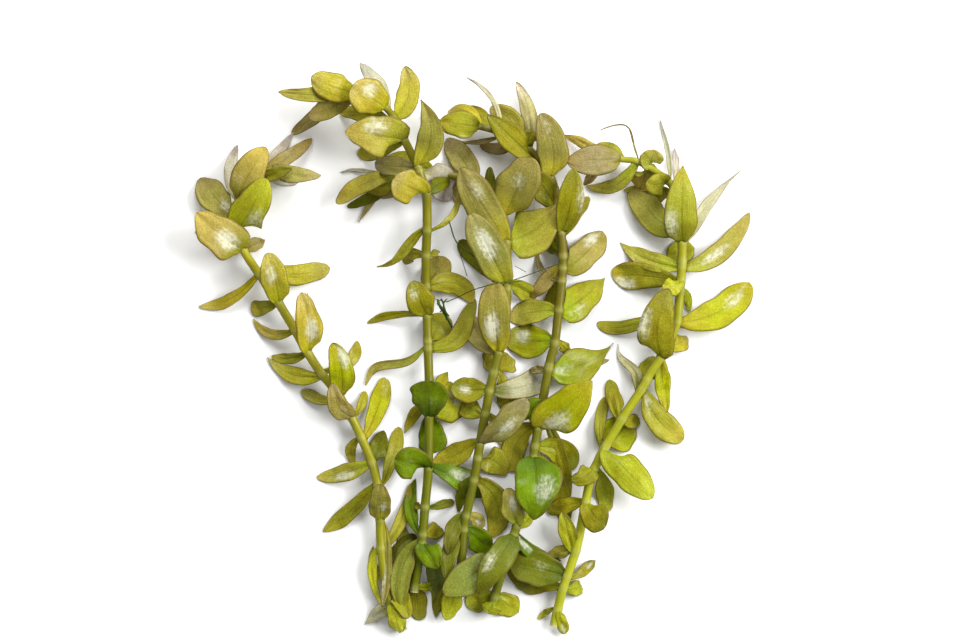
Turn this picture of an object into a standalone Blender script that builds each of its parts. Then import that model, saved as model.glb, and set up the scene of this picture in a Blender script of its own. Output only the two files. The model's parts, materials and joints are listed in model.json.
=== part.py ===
"""Lemon bacopa: five cut stems of a water plant, lying gathered in one bunch.

Everything is in metres, +Z up, and the bunch lies on the plane z = 0. Its origin is the middle of the
ground under it. +Y runs from the cut ends to the shoot tips. Each stem is a solid of its own, with the small
crowded leaves of its tip grown to it, and each pair of opposite leaves is a solid of its own that clasps the
stem with a collar.
"""

import math
from collections import namedtuple

import bmesh
import bpy
from mathutils import Vector
from mathutils.bvhtree import BVHTree

MM = 0.001

# Places are read off a plan of the bunch from above, with u to the right and v down
PLAN_UNIT = MM / 3
PLAN_CENTRE = (480, 320)
EYE_HEIGHT = 888.9 * MM
EYE_OVER = (2.4 * MM, 9.9 * MM)

# Stems
STEM_RADIUS = 1.5 * MM
TIP_RADIUS = 0.85 * MM
TAPER_FROM = 0.75
CAP_WELD = 0.01 * MM

# Leaves
LEAF_THICKNESS = 0.6 * MM
# The base's half width, as a share of the widest, of a leaf that is widest at WIDE_BASE_AT of its length
BASE_WIDTH = 0.62
WIDE_BASE_AT = 0.25
ROUND_TIP = 0.5
LONG_LEAF = 18 * MM
SHORT_LEAF = 9 * MM
STATIONS = {"long": (0.0, 0.2, 0.5, 0.8), "middling": (0.0, 0.3, 0.7), "short": (0.0, 0.45)}
CUP = 0.16
GAP = 0.3 * MM
GROWN_IN = 0.8 * MM

# Collars, by which a pair of leaves clasps the stem
COLLAR_WALL = 0.36 * MM
COLLAR_HALF_WIDTH = 0.9 * MM
COLLAR_TURN = math.radians(60)
LEAF_FROM_COLLAR = 0.35 * MM

# How high a leaf's tip is held over the stem's own height, and how far it may move to clear its neighbours
TIP_OVER_STEM = {"front": 7 * MM, "side": -7 * MM, "back": -12 * MM}
LOWEST_TIP = -2 * MM
ALONG = 0.4
OUTWARD = {"front": 0.24, "side": 0.16, "back": 0.06}
SIDE_RISE = 0.12
LEAN = 0.5
CLASP_ENDS = 0.4
MOST_CLASP = 1.5 * MM
STEP = 0.8 * MM
MOST_STEPS = 26
PLACING_ORDER = ("back", "side", "front")

UP = Vector((0, 0, 1))

TONES = {
    "pale": (0.42, 0.42, 0.32),
    "silver": (0.45, 0.42, 0.20),
    "grey": (0.27, 0.28, 0.10),
    "light": (0.42, 0.43, 0.10),
    "straw": (0.38, 0.34, 0.05),
    "yellow": (0.48, 0.43, 0.04),
    "gold": (0.48, 0.38, 0.05),
    "lemon": (0.50, 0.48, 0.01),
    "lime": (0.38, 0.43, 0.02),
    "olive": (0.28, 0.26, 0.02),
    "green": (0.22, 0.27, 0.01),
    "bright": (0.30, 0.37, 0.02),
    "vivid": (0.12, 0.22, 0.01),
    "shade": (0.14, 0.17, 0.04),
    "dark": (0.08, 0.10, 0.01),
    "brown": (0.28, 0.19, 0.04),
    "stem": (0.26, 0.25, 0.02),
}

Blade = namedtuple("Blade", "tip width face tone bow sway lift point wide")


def blade(tip, width, face, tone, bow=0, sway=0, lift=0, point=0.3, wide=0.42):
    """One leaf: its tip and width on the plan, the side of the stem that it grows from, and its tone.

    bow and sway bend its midrib sideways on the plan, lift raises its tip in mm, point goes from 0, a round
    tip, to 1, a sharp one, and wide says where along it a leaf is widest.
    """
    return Blade(tip, width, face, tone, bow, sway, lift, point, wide)


STEM_1 = {
    "route": [
        (403, 631), (394, 612), (388, 594), (384, 572), (381, 548), (380, 520), (380, 500), (377, 482),
        (372, 463), (361, 437), (352, 418), (341, 399), (331, 385), (321, 373), (306, 350), (295, 330),
        (286, 315), (277, 300), (267, 285), (250, 261), (243, 249), (238, 238), (236, 225), (236, 212),
        (238, 200), (246, 188), (258, 178), (268, 171), (276, 168),
    ],
    "heights": [(0, 2.6), (0.12, 4.2), (0.5, 4.6), (0.8, 5.4), (0.93, 8), (1, 9)],
    "pairs": [
        ((380, 519), [blade((380, 484), 21, "front", "light", point=0),
                      blade((383, 607), 10, "side", "light", bow=3, wide=0.6)]),
        ((378, 486), [blade((323, 531), 17, "side", "olive", bow=-6, wide=0.5),
                      blade((399, 425), 15, "side", "olive", bow=-2, wide=0.7, point=0)]),
        ((361, 438), [blade((385, 377), 20, "side", "straw", bow=-1, wide=0.6, point=0),
                      blade((356, 464), 10, "side", "olive", bow=4)]),
        ((351, 418), [blade((333, 383), 22, "front", "grey", bow=-6, wide=0.35),
                      blade((365, 391), 9, "side", "olive", wide=0.6, point=0)]),
        ((340, 397), [blade((332, 343), 25, "front", "yellow", bow=4, wide=0.4, point=0),
                      blade((303, 390), 12, "side", "straw", bow=-2, wide=0.7, point=0)]),
        ((321, 374), [blade((268, 357), 17, "side", "straw", bow=-4, wide=0.32, point=1),
                      blade((358, 340), 12, "side", "olive", bow=10, wide=0.6, point=0)]),
        ((308, 352), [blade((301, 293), 26, "front", "yellow", bow=3, wide=0.4, point=0),
                      blade((273, 356), 11, "side", "olive", point=0.1, bow=-2)]),
        ((278, 302), [blade((267, 253), 27, "front", "yellow", bow=1, point=0),
                      blade((252, 309), 17, "side", "olive", wide=0.68, point=0)]),
        ((259, 275), [blade((199, 307), 12, "side", "yellow", bow=-7, wide=0.58, point=0.4),
                      blade((330, 268), 22, "side", "yellow", bow=7, wide=0.58, point=0)]),
        ((244, 250), [blade((197, 213), 40, "front", "gold", bow=-1, wide=0.24, point=0.1),
                      blade((264, 240), 14, "side", "brown", wide=0.3, point=0.5)]),
        ((239, 228), [blade((265, 178), 38, "front", "lime", wide=0.27, point=0.1, bow=1),
                      blade((195, 232), 10, "side", "brown")]),
    ],
    "fused": [
        ((391, 606), [blade((364, 625), 14, "side", "pale", wide=0.2, point=2, lift=2)]),
        ((391, 603), [blade((401, 632), 18, "front", "lime", lift=-4, point=0, wide=0.6)]),
        ((387, 590), [blade((408, 618), 19, "side", "bright", point=0),
                      blade((399, 521), 19, "side", "shade", bow=5)]),
        ((385, 578), [blade((415, 534), 24, "back", "dark", wide=0.5, point=0),
                      blade((374, 545), 9, "side", "olive", bow=-2)]),
        ((381, 548), [blade((381, 604), 10, "side", "lime", bow=2), blade((411, 482), 12, "side", "olive")]),
        ((371, 463), [blade((316, 476), 17, "side", "straw", bow=-3, wide=0.4),
                      blade((384, 430), 18, "back", "dark")]),
        ((295, 330), [blade((254, 319), 10, "side", "gold", bow=-6), blade((308, 293), 6, "side", "brown")]),
        ((237, 214), [blade((201, 176), 28, "side", "grey", point=0, wide=0.5)]),
        ((239, 199), [blade((267, 148), 31, "front", "straw", point=0.1, bow=-2),
                      blade((238, 146), 14, "side", "pale", lift=-5, bow=-2, point=0.5)]),
        ((258, 178), [blade((294, 134), 12, "back", "pale", point=0.5),
                      blade((292, 168), 12, "front", "dark")]),
        ((266, 172), [blade((313, 138), 14, "side", "brown", bow=7, point=0.1),
                      blade((301, 181), 13, "side", "pale")]),
        ((273, 169), [blade((321, 174), 17, "front", "grey", lift=-3, wide=0.35, bow=2)]),
    ],
}

STEM_2 = {
    "route": [
        (414, 592), (416, 578), (419, 560), (422, 543), (425, 507), (428, 474), (429, 435), (429, 397),
        (429, 378), (428, 348), (427, 315), (426, 286), (426, 255), (427, 229), (427, 210), (426, 192),
        (421, 177), (417, 165), (410, 151), (404, 139), (397, 124), (389, 111), (376, 100), (362, 94),
        (345, 92), (330, 96),
    ],
    "heights": [(0, 2.6), (0.1, 4.4), (0.55, 5.4), (0.68, 11), (0.74, 13), (1, 12)],
    "pairs": [
        ((422, 543), [blade((438, 568), 25, "front", "vivid", wide=0.35, point=0.2, lift=-2),
                      blade((402, 611), 20, "side", "shade", bow=4, wide=0.5)]),
        ((429, 467), [blade((395, 460), 34, "front", "vivid", wide=0.45, bow=1, point=0),
                      blade((488, 494), 24, "side", "vivid", wide=0.6, point=0)]),
        ((429, 416), [blade((429, 381), 37, "front", "vivid", wide=0.72, point=-0.1),
                      blade((434, 453), 28, "back", "vivid", wide=0.75, point=0)]),
        ((429, 404), [blade((464, 400), 40, "side", "bright", wide=0.5, point=0),
                      blade((405, 433), 12, "side", "green", wide=0.35, point=0.8)]),
        ((428, 348), [blade((475, 299), 18, "side", "green", bow=7, sway=3, wide=0.35, point=0.1),
                      blade((364, 386), 9, "side", "green", bow=1, sway=-6, wide=0.5, point=0.1)]),
        ((428, 315), [blade((413, 281), 27, "front", "green", wide=0.4, point=0.1),
                      blade((368, 323), 8, "side", "green", bow=4, wide=0.65)]),
        ((427, 286), [blade((472, 303), 22, "side", "olive", bow=-10, wide=0.4, point=0.1),
                      blade((446, 258), 27, "back", "straw", wide=0.6, point=0.1)]),
        ((427, 230), [blade((377, 267), 10, "side", "olive", wide=0.3, point=1.2, bow=-8, sway=2),
                      blade((458, 183), 6, "side", "olive", bow=7)]),
        ((427, 192), [blade((394, 178), 34, "front", "lime", wide=0.55, point=0.1),
                      blade((451, 182), 14, "side", "dark", bow=-4, point=0.1)]),
        ((417, 166), [blade((421, 99), 27, "front", "light", bow=10, wide=0.4, point=1.2),
                      blade((373, 163), 20, "side", "grey", point=0)]),
        ((404, 140), [blade((345, 132), 42, "front", "yellow", wide=0.26, point=0.5, bow=2),
                      blade((359, 155), 18, "side", "straw", lift=-8, wide=0.6, point=0)]),
        ((394, 118), [blade((404, 66), 23, "side", "gold", bow=5, wide=0.36, point=0),
                      blade((337, 113), 17, "side", "olive", bow=6, lift=-5)]),
    ],
    "fused": [
        ((414, 586), [blade((438, 586), 9, "side", "lime"),
                      blade((419, 620), 20, "back", "green", wide=0.6, point=0)]),
        ((420, 553), [blade((436, 612), 20, "side", "shade", bow=-4, wide=0.5, point=0)]),
        ((423, 533), [blade((441, 526), 18, "side", "green", wide=0.6, point=0),
                      blade((416, 478), 13, "side", "vivid", bow=-2)]),
        ((425, 507), [blade((456, 500), 9, "side", "dark", wide=0.6),
                      blade((414, 504), 7, "side", "green")]),
        ((429, 390), [blade((448, 371), 12, "side", "green", point=0.8)]),
        ((428, 341), [blade((446, 315), 30, "back", "olive", wide=0.6, point=0.1)]),
        ((426, 255), [blade((406, 265), 14, "side", "olive", bow=5, wide=0.6, point=0.1),
                      blade((438, 249), 7, "side", "olive", point=0.8)]),
        ((419, 171), [blade((453, 201), 32, "back", "pale", wide=0.5, point=0, bow=-5)]),
        ((385, 108), [blade((352, 86), 36, "front", "yellow", wide=0.5, point=0),
                      blade((360, 64), 17, "side", "pale", bow=-1, lift=3)]),
        ((355, 94), [blade((311, 77), 28, "front", "yellow", bow=-3, wide=0.5, point=0),
                     blade((309, 118), 19, "side", "grey", wide=0.6, point=0, lift=3, bow=3)]),
        ((340, 94), [blade((279, 92), 15, "front", "grey", lift=-2, bow=-4),
                     blade((292, 134), 16, "back", "brown", point=0)]),
    ],
}

STEM_3 = {
    "route": [
        (447, 618), (452, 602), (457, 585), (461, 565), (464, 528), (467, 512), (475, 475), (480, 443),
        (487, 405), (490, 388), (499, 351), (503, 330), (506, 308), (507, 285), (507, 260), (506, 235),
        (503, 215), (498, 200), (488, 188), (472, 180), (455, 176), (438, 174), (420, 174), (400, 175),
        (380, 180),
    ],
    "heights": [(0, 2.6), (0.1, 4.4), (0.5, 5.6), (0.68, 6.4), (0.78, 4.3), (1, 4)],
    "pairs": [
        ((458, 587), [blade((446, 620), 20, "front", "lime", lift=-5, wide=0.5, point=0.3),
                      blade((436, 616), 11, "side", "green", bow=2)]),
        ((474, 480), [blade((491, 538), 28, "side", "olive", bow=-9, wide=0.5),
                      blade((459, 512), 12, "side", "dark")]),
        ((480, 443), [blade((432, 463), 22, "side", "olive", wide=0.5, bow=-5, point=0.2),
                      blade((527, 399), 26, "front", "grey", bow=1, wide=0.55, point=0)]),
        ((485, 415), [blade((462, 404), 23, "side", "olive", wide=0.7, point=0),
                      blade((501, 444), 12, "side", "olive", wide=0.3)]),
        ((490, 390), [blade((452, 385), 25, "side", "green", bow=-3, wide=0.5, point=0),
                      blade((552, 374), 26, "side", "silver", bow=2, wide=0.6, point=0)]),
        ((494, 372), [blade((504, 351), 36, "back", "olive", wide=0.5, point=0),
                      blade((505, 413), 17, "side", "olive", wide=0.6)]),
        ((499, 352), [blade((494, 282), 33, "front", "light", wide=0.5, point=-0.3),
                      blade((467, 317), 24, "side", "grey", wide=0.6, point=0)]),
        ((507, 284), [blade((470, 213), 35, "front", "light", bow=2, wide=0.45, point=0),
                      blade((535, 299), 18, "side", "olive")]),
        ((507, 241), [blade((460, 168), 34, "front", "light", bow=1, wide=0.5, point=0),
                      blade((559, 202), 47, "side", "straw", bow=4, lift=6, wide=0.25, point=1.5)]),
        ((505, 216), [blade((530, 157), 42, "front", "light", wide=0.5, point=0),
                      blade((490, 167), 12, "side", "dark", wide=0.6, point=0)]),
    ],
    "fused": [
        ((466, 515), [blade((448, 554), 16, "side", "olive"), blade((484, 528), 14, "side", "grey")]),
        ((464, 530), [blade((490, 556), 24, "side", "vivid", wide=0.4),
                      blade((447, 583), 17, "side", "dark")]),
        ((478, 458), [blade((506, 475), 26, "back", "olive", bow=-5)]),
        ((504, 288), [blade((459, 241), 17, "back", "dark", wide=0.8, point=0)]),
        ((472, 180), [blade((446, 140), 25, "side", "grey", point=0, bow=-2),
                      blade((456, 203), 24, "side", "grey")]),
        ((430, 174), [blade((386, 158), 18, "side", "olive", lift=-1)]),
        ((410, 174), [blade((377, 195), 24, "back", "grey", point=0),
                      blade((362, 178), 11, "side", "brown")]),
        ((396, 176), [blade((335, 203), 18, "front", "straw", bow=6, lift=-3, wide=0.6, point=0)]),
        ((391, 177), [blade((361, 183), 19, "front", "green", lift=-5, bow=-7),
                      blade((348, 207), 12, "side", "dark", point=0)]),
        ((385, 179), [blade((358, 223), 6, "back", "brown", point=0.8),
                      blade((340, 172), 4, "side", "pale")]),
    ],
}

STEM_4 = {
    "route": [
        (490, 612), (495, 595), (501, 575), (507, 555), (514, 535), (521, 512), (527, 490), (532, 465),
        (538, 428), (542, 405), (550, 362), (555, 342), (560, 298), (562, 278), (563, 258), (562, 240),
        (560, 222), (558, 203), (554, 186), (549, 174), (540, 160), (527, 148), (510, 138), (492, 130),
        (474, 126), (456, 124),
    ],
    "heights": [(0, 2.6), (0.1, 4.4), (0.5, 5.2), (0.8, 6), (1, 8)],
    "pairs": [
        ((495, 596), [blade((468, 608), 23, "side", "lime", wide=0.6, point=0),
                      blade((519, 611), 25, "side", "lime", point=0.7, wide=0.45, bow=2)]),
        ((507, 555), [blade((444, 594), 33, "front", "green", lift=-3, wide=0.5, point=0.1),
                      blade((524, 590), 18, "back", "green", point=0.1)]),
        ((514, 535), [blade((478, 594), 29, "front", "vivid", wide=0.45),
                      blade((561, 560), 15, "side", "vivid", bow=8)]),
        ((534, 457), [blade((533, 520), 47, "front", "vivid", bow=-2, wide=0.4, point=0.6),
                      blade((566, 525), 24, "side", "green", wide=0.5)]),
        ((538, 428), [blade((592, 381), 43, "front", "bright", wide=0.36, point=0.7),
                      blade((512, 472), 25, "side", "olive", wide=0.5, point=0, bow=5)]),
        ((540, 418), [blade((526, 400), 26, "front", "vivid", lift=-5, wide=0.6, point=0),
                      blade((566, 505), 15, "side", "green", wide=0.6)]),
        ((549, 370), [blade((613, 343), 38, "side", "bright", bow=4, wide=0.3, point=3.4),
                      blade((530, 371), 8, "side", "brown")]),
        ((555, 342), [blade((508, 337), 34, "side", "bright", wide=0.5, point=0, bow=-3),
                      blade((568, 354), 11, "side", "olive", point=0.6)]),
        ((559, 311), [blade((606, 276), 35, "side", "bright", wide=0.24, point=1.4, bow=-1),
                      blade((508, 319), 24, "side", "straw", wide=0.5, bow=1)]),
        ((562, 268), [blade((603, 230), 30, "side", "straw", bow=0, wide=0.36, point=0),
                      blade((530, 297), 15, "side", "brown", bow=-3)]),
        ((562, 232), [blade((573, 168), 25, "front", "green", bow=2, wide=0.5, point=0.3),
                      blade((589, 195), 15, "side", "olive", bow=-4, point=0)]),
    ],
    "fused": [
        ((493, 601), [blade((489, 614), 20, "front", "lime", lift=-5, wide=0.6, point=0)]),
        ((518, 525), [blade((508, 488), 21, "front", "straw", lift=-4, point=0),
                      blade((532, 510), 10, "side", "lime")]),
        ((535, 446), [blade((573, 470), 26, "side", "green", bow=-7, wide=0.5)]),
        ((549, 366), [blade((610, 360), 8, "back", "grey", wide=0.7, bow=2)]),
        ((562, 281), [blade((542, 319), 13, "back", "green"),
                      blade((538, 251), 6, "side", "brown", bow=-5)]),
        ((563, 256), [blade((548, 226), 22, "back", "dark", point=0)]),
        ((558, 203), [blade((532, 172), 26, "side", "green", bow=3, point=0)]),
        ((550, 177), [blade((539, 113), 31, "front", "light", bow=6, lift=-1, point=0.1)]),
        ((538, 158), [blade((488, 115), 25, "side", "green", bow=5),
                      blade((537, 118), 10, "side", "olive", lift=-3)]),
        ((527, 148), [blade((520, 132), 26, "front", "green", lift=-4, point=0),
                      blade((516, 82), 16, "side", "silver", bow=2, lift=3, point=0.4)]),
        ((515, 141), [blade((479, 145), 13, "back", "brown", bow=-5),
                      blade((489, 109), 23, "side", "straw", bow=4, point=0)]),
        ((500, 134), [blade((467, 77), 5, "side", "pale", lift=4, bow=5),
                      blade((462, 142), 5, "side", "brown")]),
        ((487, 129), [blade((466, 108), 16, "side", "green")]),
        ((478, 127), [blade((440, 122), 28, "front", "olive", lift=-5, point=0),
                      blade((447, 112), 15, "side", "yellow", bow=4)]),
        ((458, 124), [blade((421, 117), 3, "back", "pale")]),
    ],
}

STEM_5 = {
    "route": [
        (554, 626), (558, 608), (562, 592), (567, 577), (572, 562), (576, 550), (580, 532), (587, 495),
        (591, 478), (597, 463), (604, 449), (622, 419), (641, 390), (650, 374), (661, 357), (670, 340),
        (677, 322), (679, 302), (682, 265), (682, 242), (681, 225), (679, 205), (674, 188), (663, 177),
        (650, 168), (636, 161), (620, 159), (603, 156), (588, 152),
    ],
    "heights": [(0, 2.6), (0.1, 4.4), (0.5, 5.2), (0.8, 6.2), (1, 8)],
    "pairs": [
        ((567, 576), [blade((510, 562), 35, "side", "shade", wide=0.5, point=0),
                      blade((595, 559), 11, "side", "green", wide=0.6)]),
        ((564, 588), [blade((583, 586), 16, "side", "lime", wide=0.6, point=-0.2),
                      blade((522, 590), 17, "side", "green", wide=0.6, point=0, bow=2)]),
        ((586, 503), [blade((606, 526), 29, "front", "green", wide=0.6, point=0, bow=3),
                      blade((548, 512), 16, "side", "green", wide=0.5, point=0)]),
        ((595, 470), [blade((605, 512), 18, "side", "lemon", wide=0.6, point=0),
                      blade((571, 480), 21, "front", "green", wide=0.3, point=0.3, lift=-2, bow=-3)]),
        ((604, 449), [blade((653, 498), 32, "front", "lemon", lift=-3, wide=0.42, point=0.1, bow=1),
                      blade((605, 397), 11, "side", "olive", bow=1, wide=0.7, point=0)]),
        ((622, 419), [blade((608, 379), 16, "side", "green", bow=3, wide=0.4, point=0),
                      blade((640, 419), 15, "side", "green")]),
        ((641, 390), [blade((684, 438), 27, "side", "lemon", bow=9, wide=0.66, point=0),
                      blade((618, 344), 11, "side", "silver", sway=4, wide=0.2, point=1.6, bow=3)]),
        ((661, 357), [blade((670, 289), 36, "front", "olive", bow=-7, wide=0.32, point=0.1),
                      blade((667, 412), 16, "back", "lemon", wide=0.5, bow=2)]),
        ((678, 322), [blade((749, 283), 31, "side", "lemon", bow=6, wide=0.56, point=0),
                      blade((595, 323), 14, "side", "olive", sway=3, wide=0.7, point=0, bow=-4)]),
        ((681, 281), [blade((610, 276), 26, "side", "olive", bow=2, wide=0.68, point=0),
                      blade((665, 294), 20, "front", "lime", lift=-4, point=0)]),
        ((682, 242), [blade((685, 165), 34, "front", "lemon", wide=0.36, point=0.8, bow=-3),
                      blade((740, 171), 12, "side", "pale", wide=0.35, point=3.5, bow=-11)]),
    ],
    "fused": [
        ((673, 187), [blade((674, 148), 7, "side", "pale", bow=-1)]),
        ((559, 610), [blade((538, 619), 6, "side", "lime"),
                      blade((564, 634), 12, "front", "lime", lift=-8, wide=0.7, point=0)]),
        ((576, 551), [blade((562, 512), 18, "side", "lime", bow=3), blade((548, 557), 13, "side", "straw")]),
        ((612, 448), [blade((627, 418), 36, "back", "lemon", wide=0.5, point=0, bow=3)]),
        ((647, 380), [blade((654, 356), 22, "back", "lime", lift=-2)]),
        ((668, 344), [blade((686, 337), 18, "side", "yellow")]),
        ((680, 290), [blade((688, 311), 9, "side", "lime")]),
        ((682, 267), [blade((749, 213), 20, "side", "yellow", sway=1, bow=5, wide=0.4),
                      blade((620, 241), 20, "side", "straw", bow=-4, wide=0.35, point=1.2)]),
        ((682, 262), [blade((680, 240), 28, "back", "lime", wide=0.5, point=0)]),
        ((681, 228), [blade((628, 192), 31, "side", "straw", sway=-3, point=0)]),
        ((676, 195), [blade((623, 190), 17, "back", "olive")]),
        ((668, 181), [blade((646, 186), 22, "front", "olive", lift=-4, point=0),
                      blade((658, 119), 5, "side", "pale", bow=-1)]),
        ((648, 167), [blade((640, 191), 28, "back", "gold"),
                      blade((654, 150), 23, "front", "straw", lift=-5, point=0)]),
        ((637, 161), [blade((600, 131), 1.5, "side", "brown", bow=13, sway=-5),
                      blade((587, 186), 14, "side", "straw", bow=-8)]),
        ((620, 159), [blade((567, 161), 29, "front", "brown", lift=-5, wide=0.5, point=0),
                      blade((596, 147), 15, "side", "olive", point=0)]),
        ((603, 156), [blade((563, 135), 11, "side", "gold", bow=-3),
                      blade((584, 185), 10, "side", "brown")]),
    ],
}

STEMS = (STEM_1, STEM_2, STEM_3, STEM_4, STEM_5)


def place(point, z):
    """The point in space that lies over a plan point for an eye high above the plan's centre."""
    shrink = 1 - z / EYE_HEIGHT
    x = EYE_OVER[0] + (point[0] - PLAN_CENTRE[0]) * PLAN_UNIT * shrink
    y = EYE_OVER[1] - (point[1] - PLAN_CENTRE[1]) * PLAN_UNIT * shrink
    return Vector((x, y, z))


def height_at(stem, fraction):
    """How high the stem's axis runs, eased between the heights that the stem states."""
    heights = stem["heights"]
    for (start, low), (end, high) in zip(heights, heights[1:]):
        if fraction <= end:
            x = (fraction - start) / (end - start)
            return (low + (high - low) * x * x * (3 - 2 * x)) * MM
    return heights[-1][1] * MM


def radius_at(fraction):
    thin = max(0.0, (fraction - TAPER_FROM) / (1 - TAPER_FROM))
    return STEM_RADIUS + (TIP_RADIUS - STEM_RADIUS) * thin


def axis_of(stem):
    """The stem's axis as (fraction of its length, point in space) along its route."""
    route = [Vector(point) for point in stem["route"]]
    reached = [0.0]
    for before, after in zip(route, route[1:]):
        reached.append(reached[-1] + (after - before).length)
    fractions = [length / reached[-1] for length in reached]
    return [(f, place(point, height_at(stem, f))) for f, point in zip(fractions, stem["route"])]


def node_on(stem, point):
    """Where on the stem a plan point lies: fraction, point in space and direction of growth."""
    axis = axis_of(stem)
    wanted = Vector(point)
    nearest = None
    for index, (start, end) in enumerate(zip(stem["route"], stem["route"][1:])):
        run = Vector(end) - Vector(start)
        x = max(0.0, min(1.0, (wanted - Vector(start)).dot(run) / run.length_squared))
        away = (Vector(start) + run * x - wanted).length
        if nearest is None or away < nearest[0]:
            nearest = (away, index, x)
    _, index, x = nearest
    (first, low), (second, high) = axis[index], axis[index + 1]
    return first + (second - first) * x, low.lerp(high, x), (high - low).normalized()


def outline(s, leaf):
    """A leaf's half width there, as a share of the widest. One that is widest far out has a narrow base."""
    if s < leaf.wide:
        narrow = BASE_WIDTH * (1 + WIDE_BASE_AT - leaf.wide)
        return narrow + (1 - narrow) * math.sin(math.pi / 2 * s / leaf.wide)
    x = (s - leaf.wide) / (1 - leaf.wide)
    return (1 - x * x) ** (ROUND_TIP * (1 + leaf.point))


def out_of_stem(node, leaf):
    """The direction in which a leaf leaves the stem, and the direction across its base."""
    _, centre, growth = node
    over = (UP - growth * UP.dot(growth)).normalized()
    right = growth.cross(over)
    toward = place(leaf.tip, centre.z) - centre
    lean = toward.dot(right) / max(toward.length, MM)
    sign = math.copysign(1.0, lean)
    if leaf.face == "side":
        return (right * sign + over * SIDE_RISE).normalized(), growth * -sign
    forward = math.copysign(1.0, toward.dot(growth))
    if leaf.face == "front":
        return (over + right * LEAN * lean).normalized(), right * forward
    return (right * LEAN * lean - over).normalized(), right * forward


def root_of(node, leaf, reach):
    """A leaf's base, that far from the stem's axis, with the directions out of the stem and across it."""
    out, across_base = out_of_stem(node, leaf)
    return node[1] + out * reach, out, across_base


def midrib(leaf, root, tip, s):
    """The midrib's point there, with the directions across the leaf and out of its upper face."""
    base, out, across_base = root
    chord = tip - base
    flat = Vector((chord.x, chord.y, 0)).normalized()
    across = Vector((flat.y, -flat.x, 0))
    bend = base + chord * ALONG + out * OUTWARD[leaf.face] * chord.length
    bend += across * 2 * leaf.bow * PLAN_UNIT
    sway = leaf.sway * PLAN_UNIT
    centre = base * (1 - s) ** 2 + bend * 2 * s * (1 - s) + tip * s * s
    centre += across * sway * math.sin(math.tau * s)
    run = (bend - base) * (1 - s) + (tip - bend) * s + across * sway * math.pi * math.cos(math.tau * s)
    run.normalize()
    side = run.cross(UP).normalized()
    if s < CLASP_ENDS:
        x = s / CLASP_ENDS
        side = across_base.lerp(side, x * x * (3 - 2 * x)).normalized()
        side = (side - run * side.dot(run) * x).normalized()
    return centre, side, side.cross(run).normalized()


def stations_of(root, tip):
    """Where along its midrib a leaf is given a section: more often on a long leaf."""
    length = (tip - root[0]).length
    if length > LONG_LEAF:
        return STATIONS["long"]
    return STATIONS["middling" if length > SHORT_LEAF else "short"]


def section(centre, side, normal, half, thick):
    """The four corners of a section, which go round the same way whichever way the leaf runs."""
    return [centre - side * half, centre + normal * thick, centre + side * half, centre - normal * thick]


def leaf_rings(leaf, root, tip, spare=0.0, skip=0):
    """A leaf's four-cornered sections from its base outwards. None goes below the ground."""
    rings = []
    thick = LEAF_THICKNESS / 2 + spare
    for s in stations_of(root, tip)[skip:]:
        centre, side, normal = midrib(leaf, root, tip, s)
        half = leaf.width * PLAN_UNIT / 2 * outline(s, leaf) + spare
        if s == 0:
            half = min(half, MOST_CLASP)
        corners = section(centre, side, normal, half, thick)
        for edge in (corners[0], corners[2]):
            edge += normal * CUP * half
        for corner in corners:
            corner.z = max(corner.z, 0)
        corners[1].z = max(corners[1].z, LEAF_THICKNESS)
        rings.append(corners)
    return rings


def turned_to(ring, wanted):
    """The ring's corners, begun at the one that lies them closest to those of the ring before."""
    def distance(start):
        return sum((ring[(start + corner) % 4] - wanted[corner]).length for corner in range(4))
    start = min(range(4), key=distance)
    return [ring[(start + corner) % 4] for corner in range(4)]


def loft(rings, first_tip, last_tip, strap=()):
    """Points and faces of a closed solid through the rings. An end with no tip is a flat cap.

    A blade's upper and lower sides are split along the same diagonals, so that a thin twisted one doesn't
    pass through itself. Between the rings numbered in strap the faces stay whole.
    """
    points = [corner for ring in rings for corner in ring]
    faces = []
    for number, start in enumerate(range(0, len(points) - 4, 4)):
        for corner in range(4):
            after = (corner + 1) % 4
            near, near_after = start + corner, start + after
            far, far_after = near + 4, near_after + 4
            if number in strap:
                faces.append((near, near_after, far_after, far))
            elif corner % 2:
                faces += [(near, near_after, far), (near_after, far_after, far)]
            else:
                faces += [(near, near_after, far_after), (near, far_after, far)]
    last = len(points) - 4
    if last_tip is None:
        faces.append((last, last + 1, last + 2, last + 3))
    else:
        faces += [(last + corner, last + (corner + 1) % 4, len(points)) for corner in range(4)]
        points.append(last_tip)
    if first_tip is None:
        faces.append((3, 2, 1, 0))
    else:
        faces += [((corner + 1) % 4, corner, len(points)) for corner in range(4)]
        points.append(first_tip)
    return facing_out(points, faces)


def facing_out(points, faces):
    """The same faces, all turned over if they face inwards."""
    volume = 0.0
    for face in faces:
        for second, third in zip(face[1:], face[2:]):
            volume += points[face[0]].dot(points[second].cross(points[third]))
    return points, faces if volume > 0 else [face[::-1] for face in faces]


def leaf_shape(leaf, root, tip, spare=0.0, skip=0):
    return loft(leaf_rings(leaf, root, tip, spare, skip), None, on_ground(tip))


def on_ground(point):
    return Vector((point.x, point.y, max(point.z, 0)))


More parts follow.
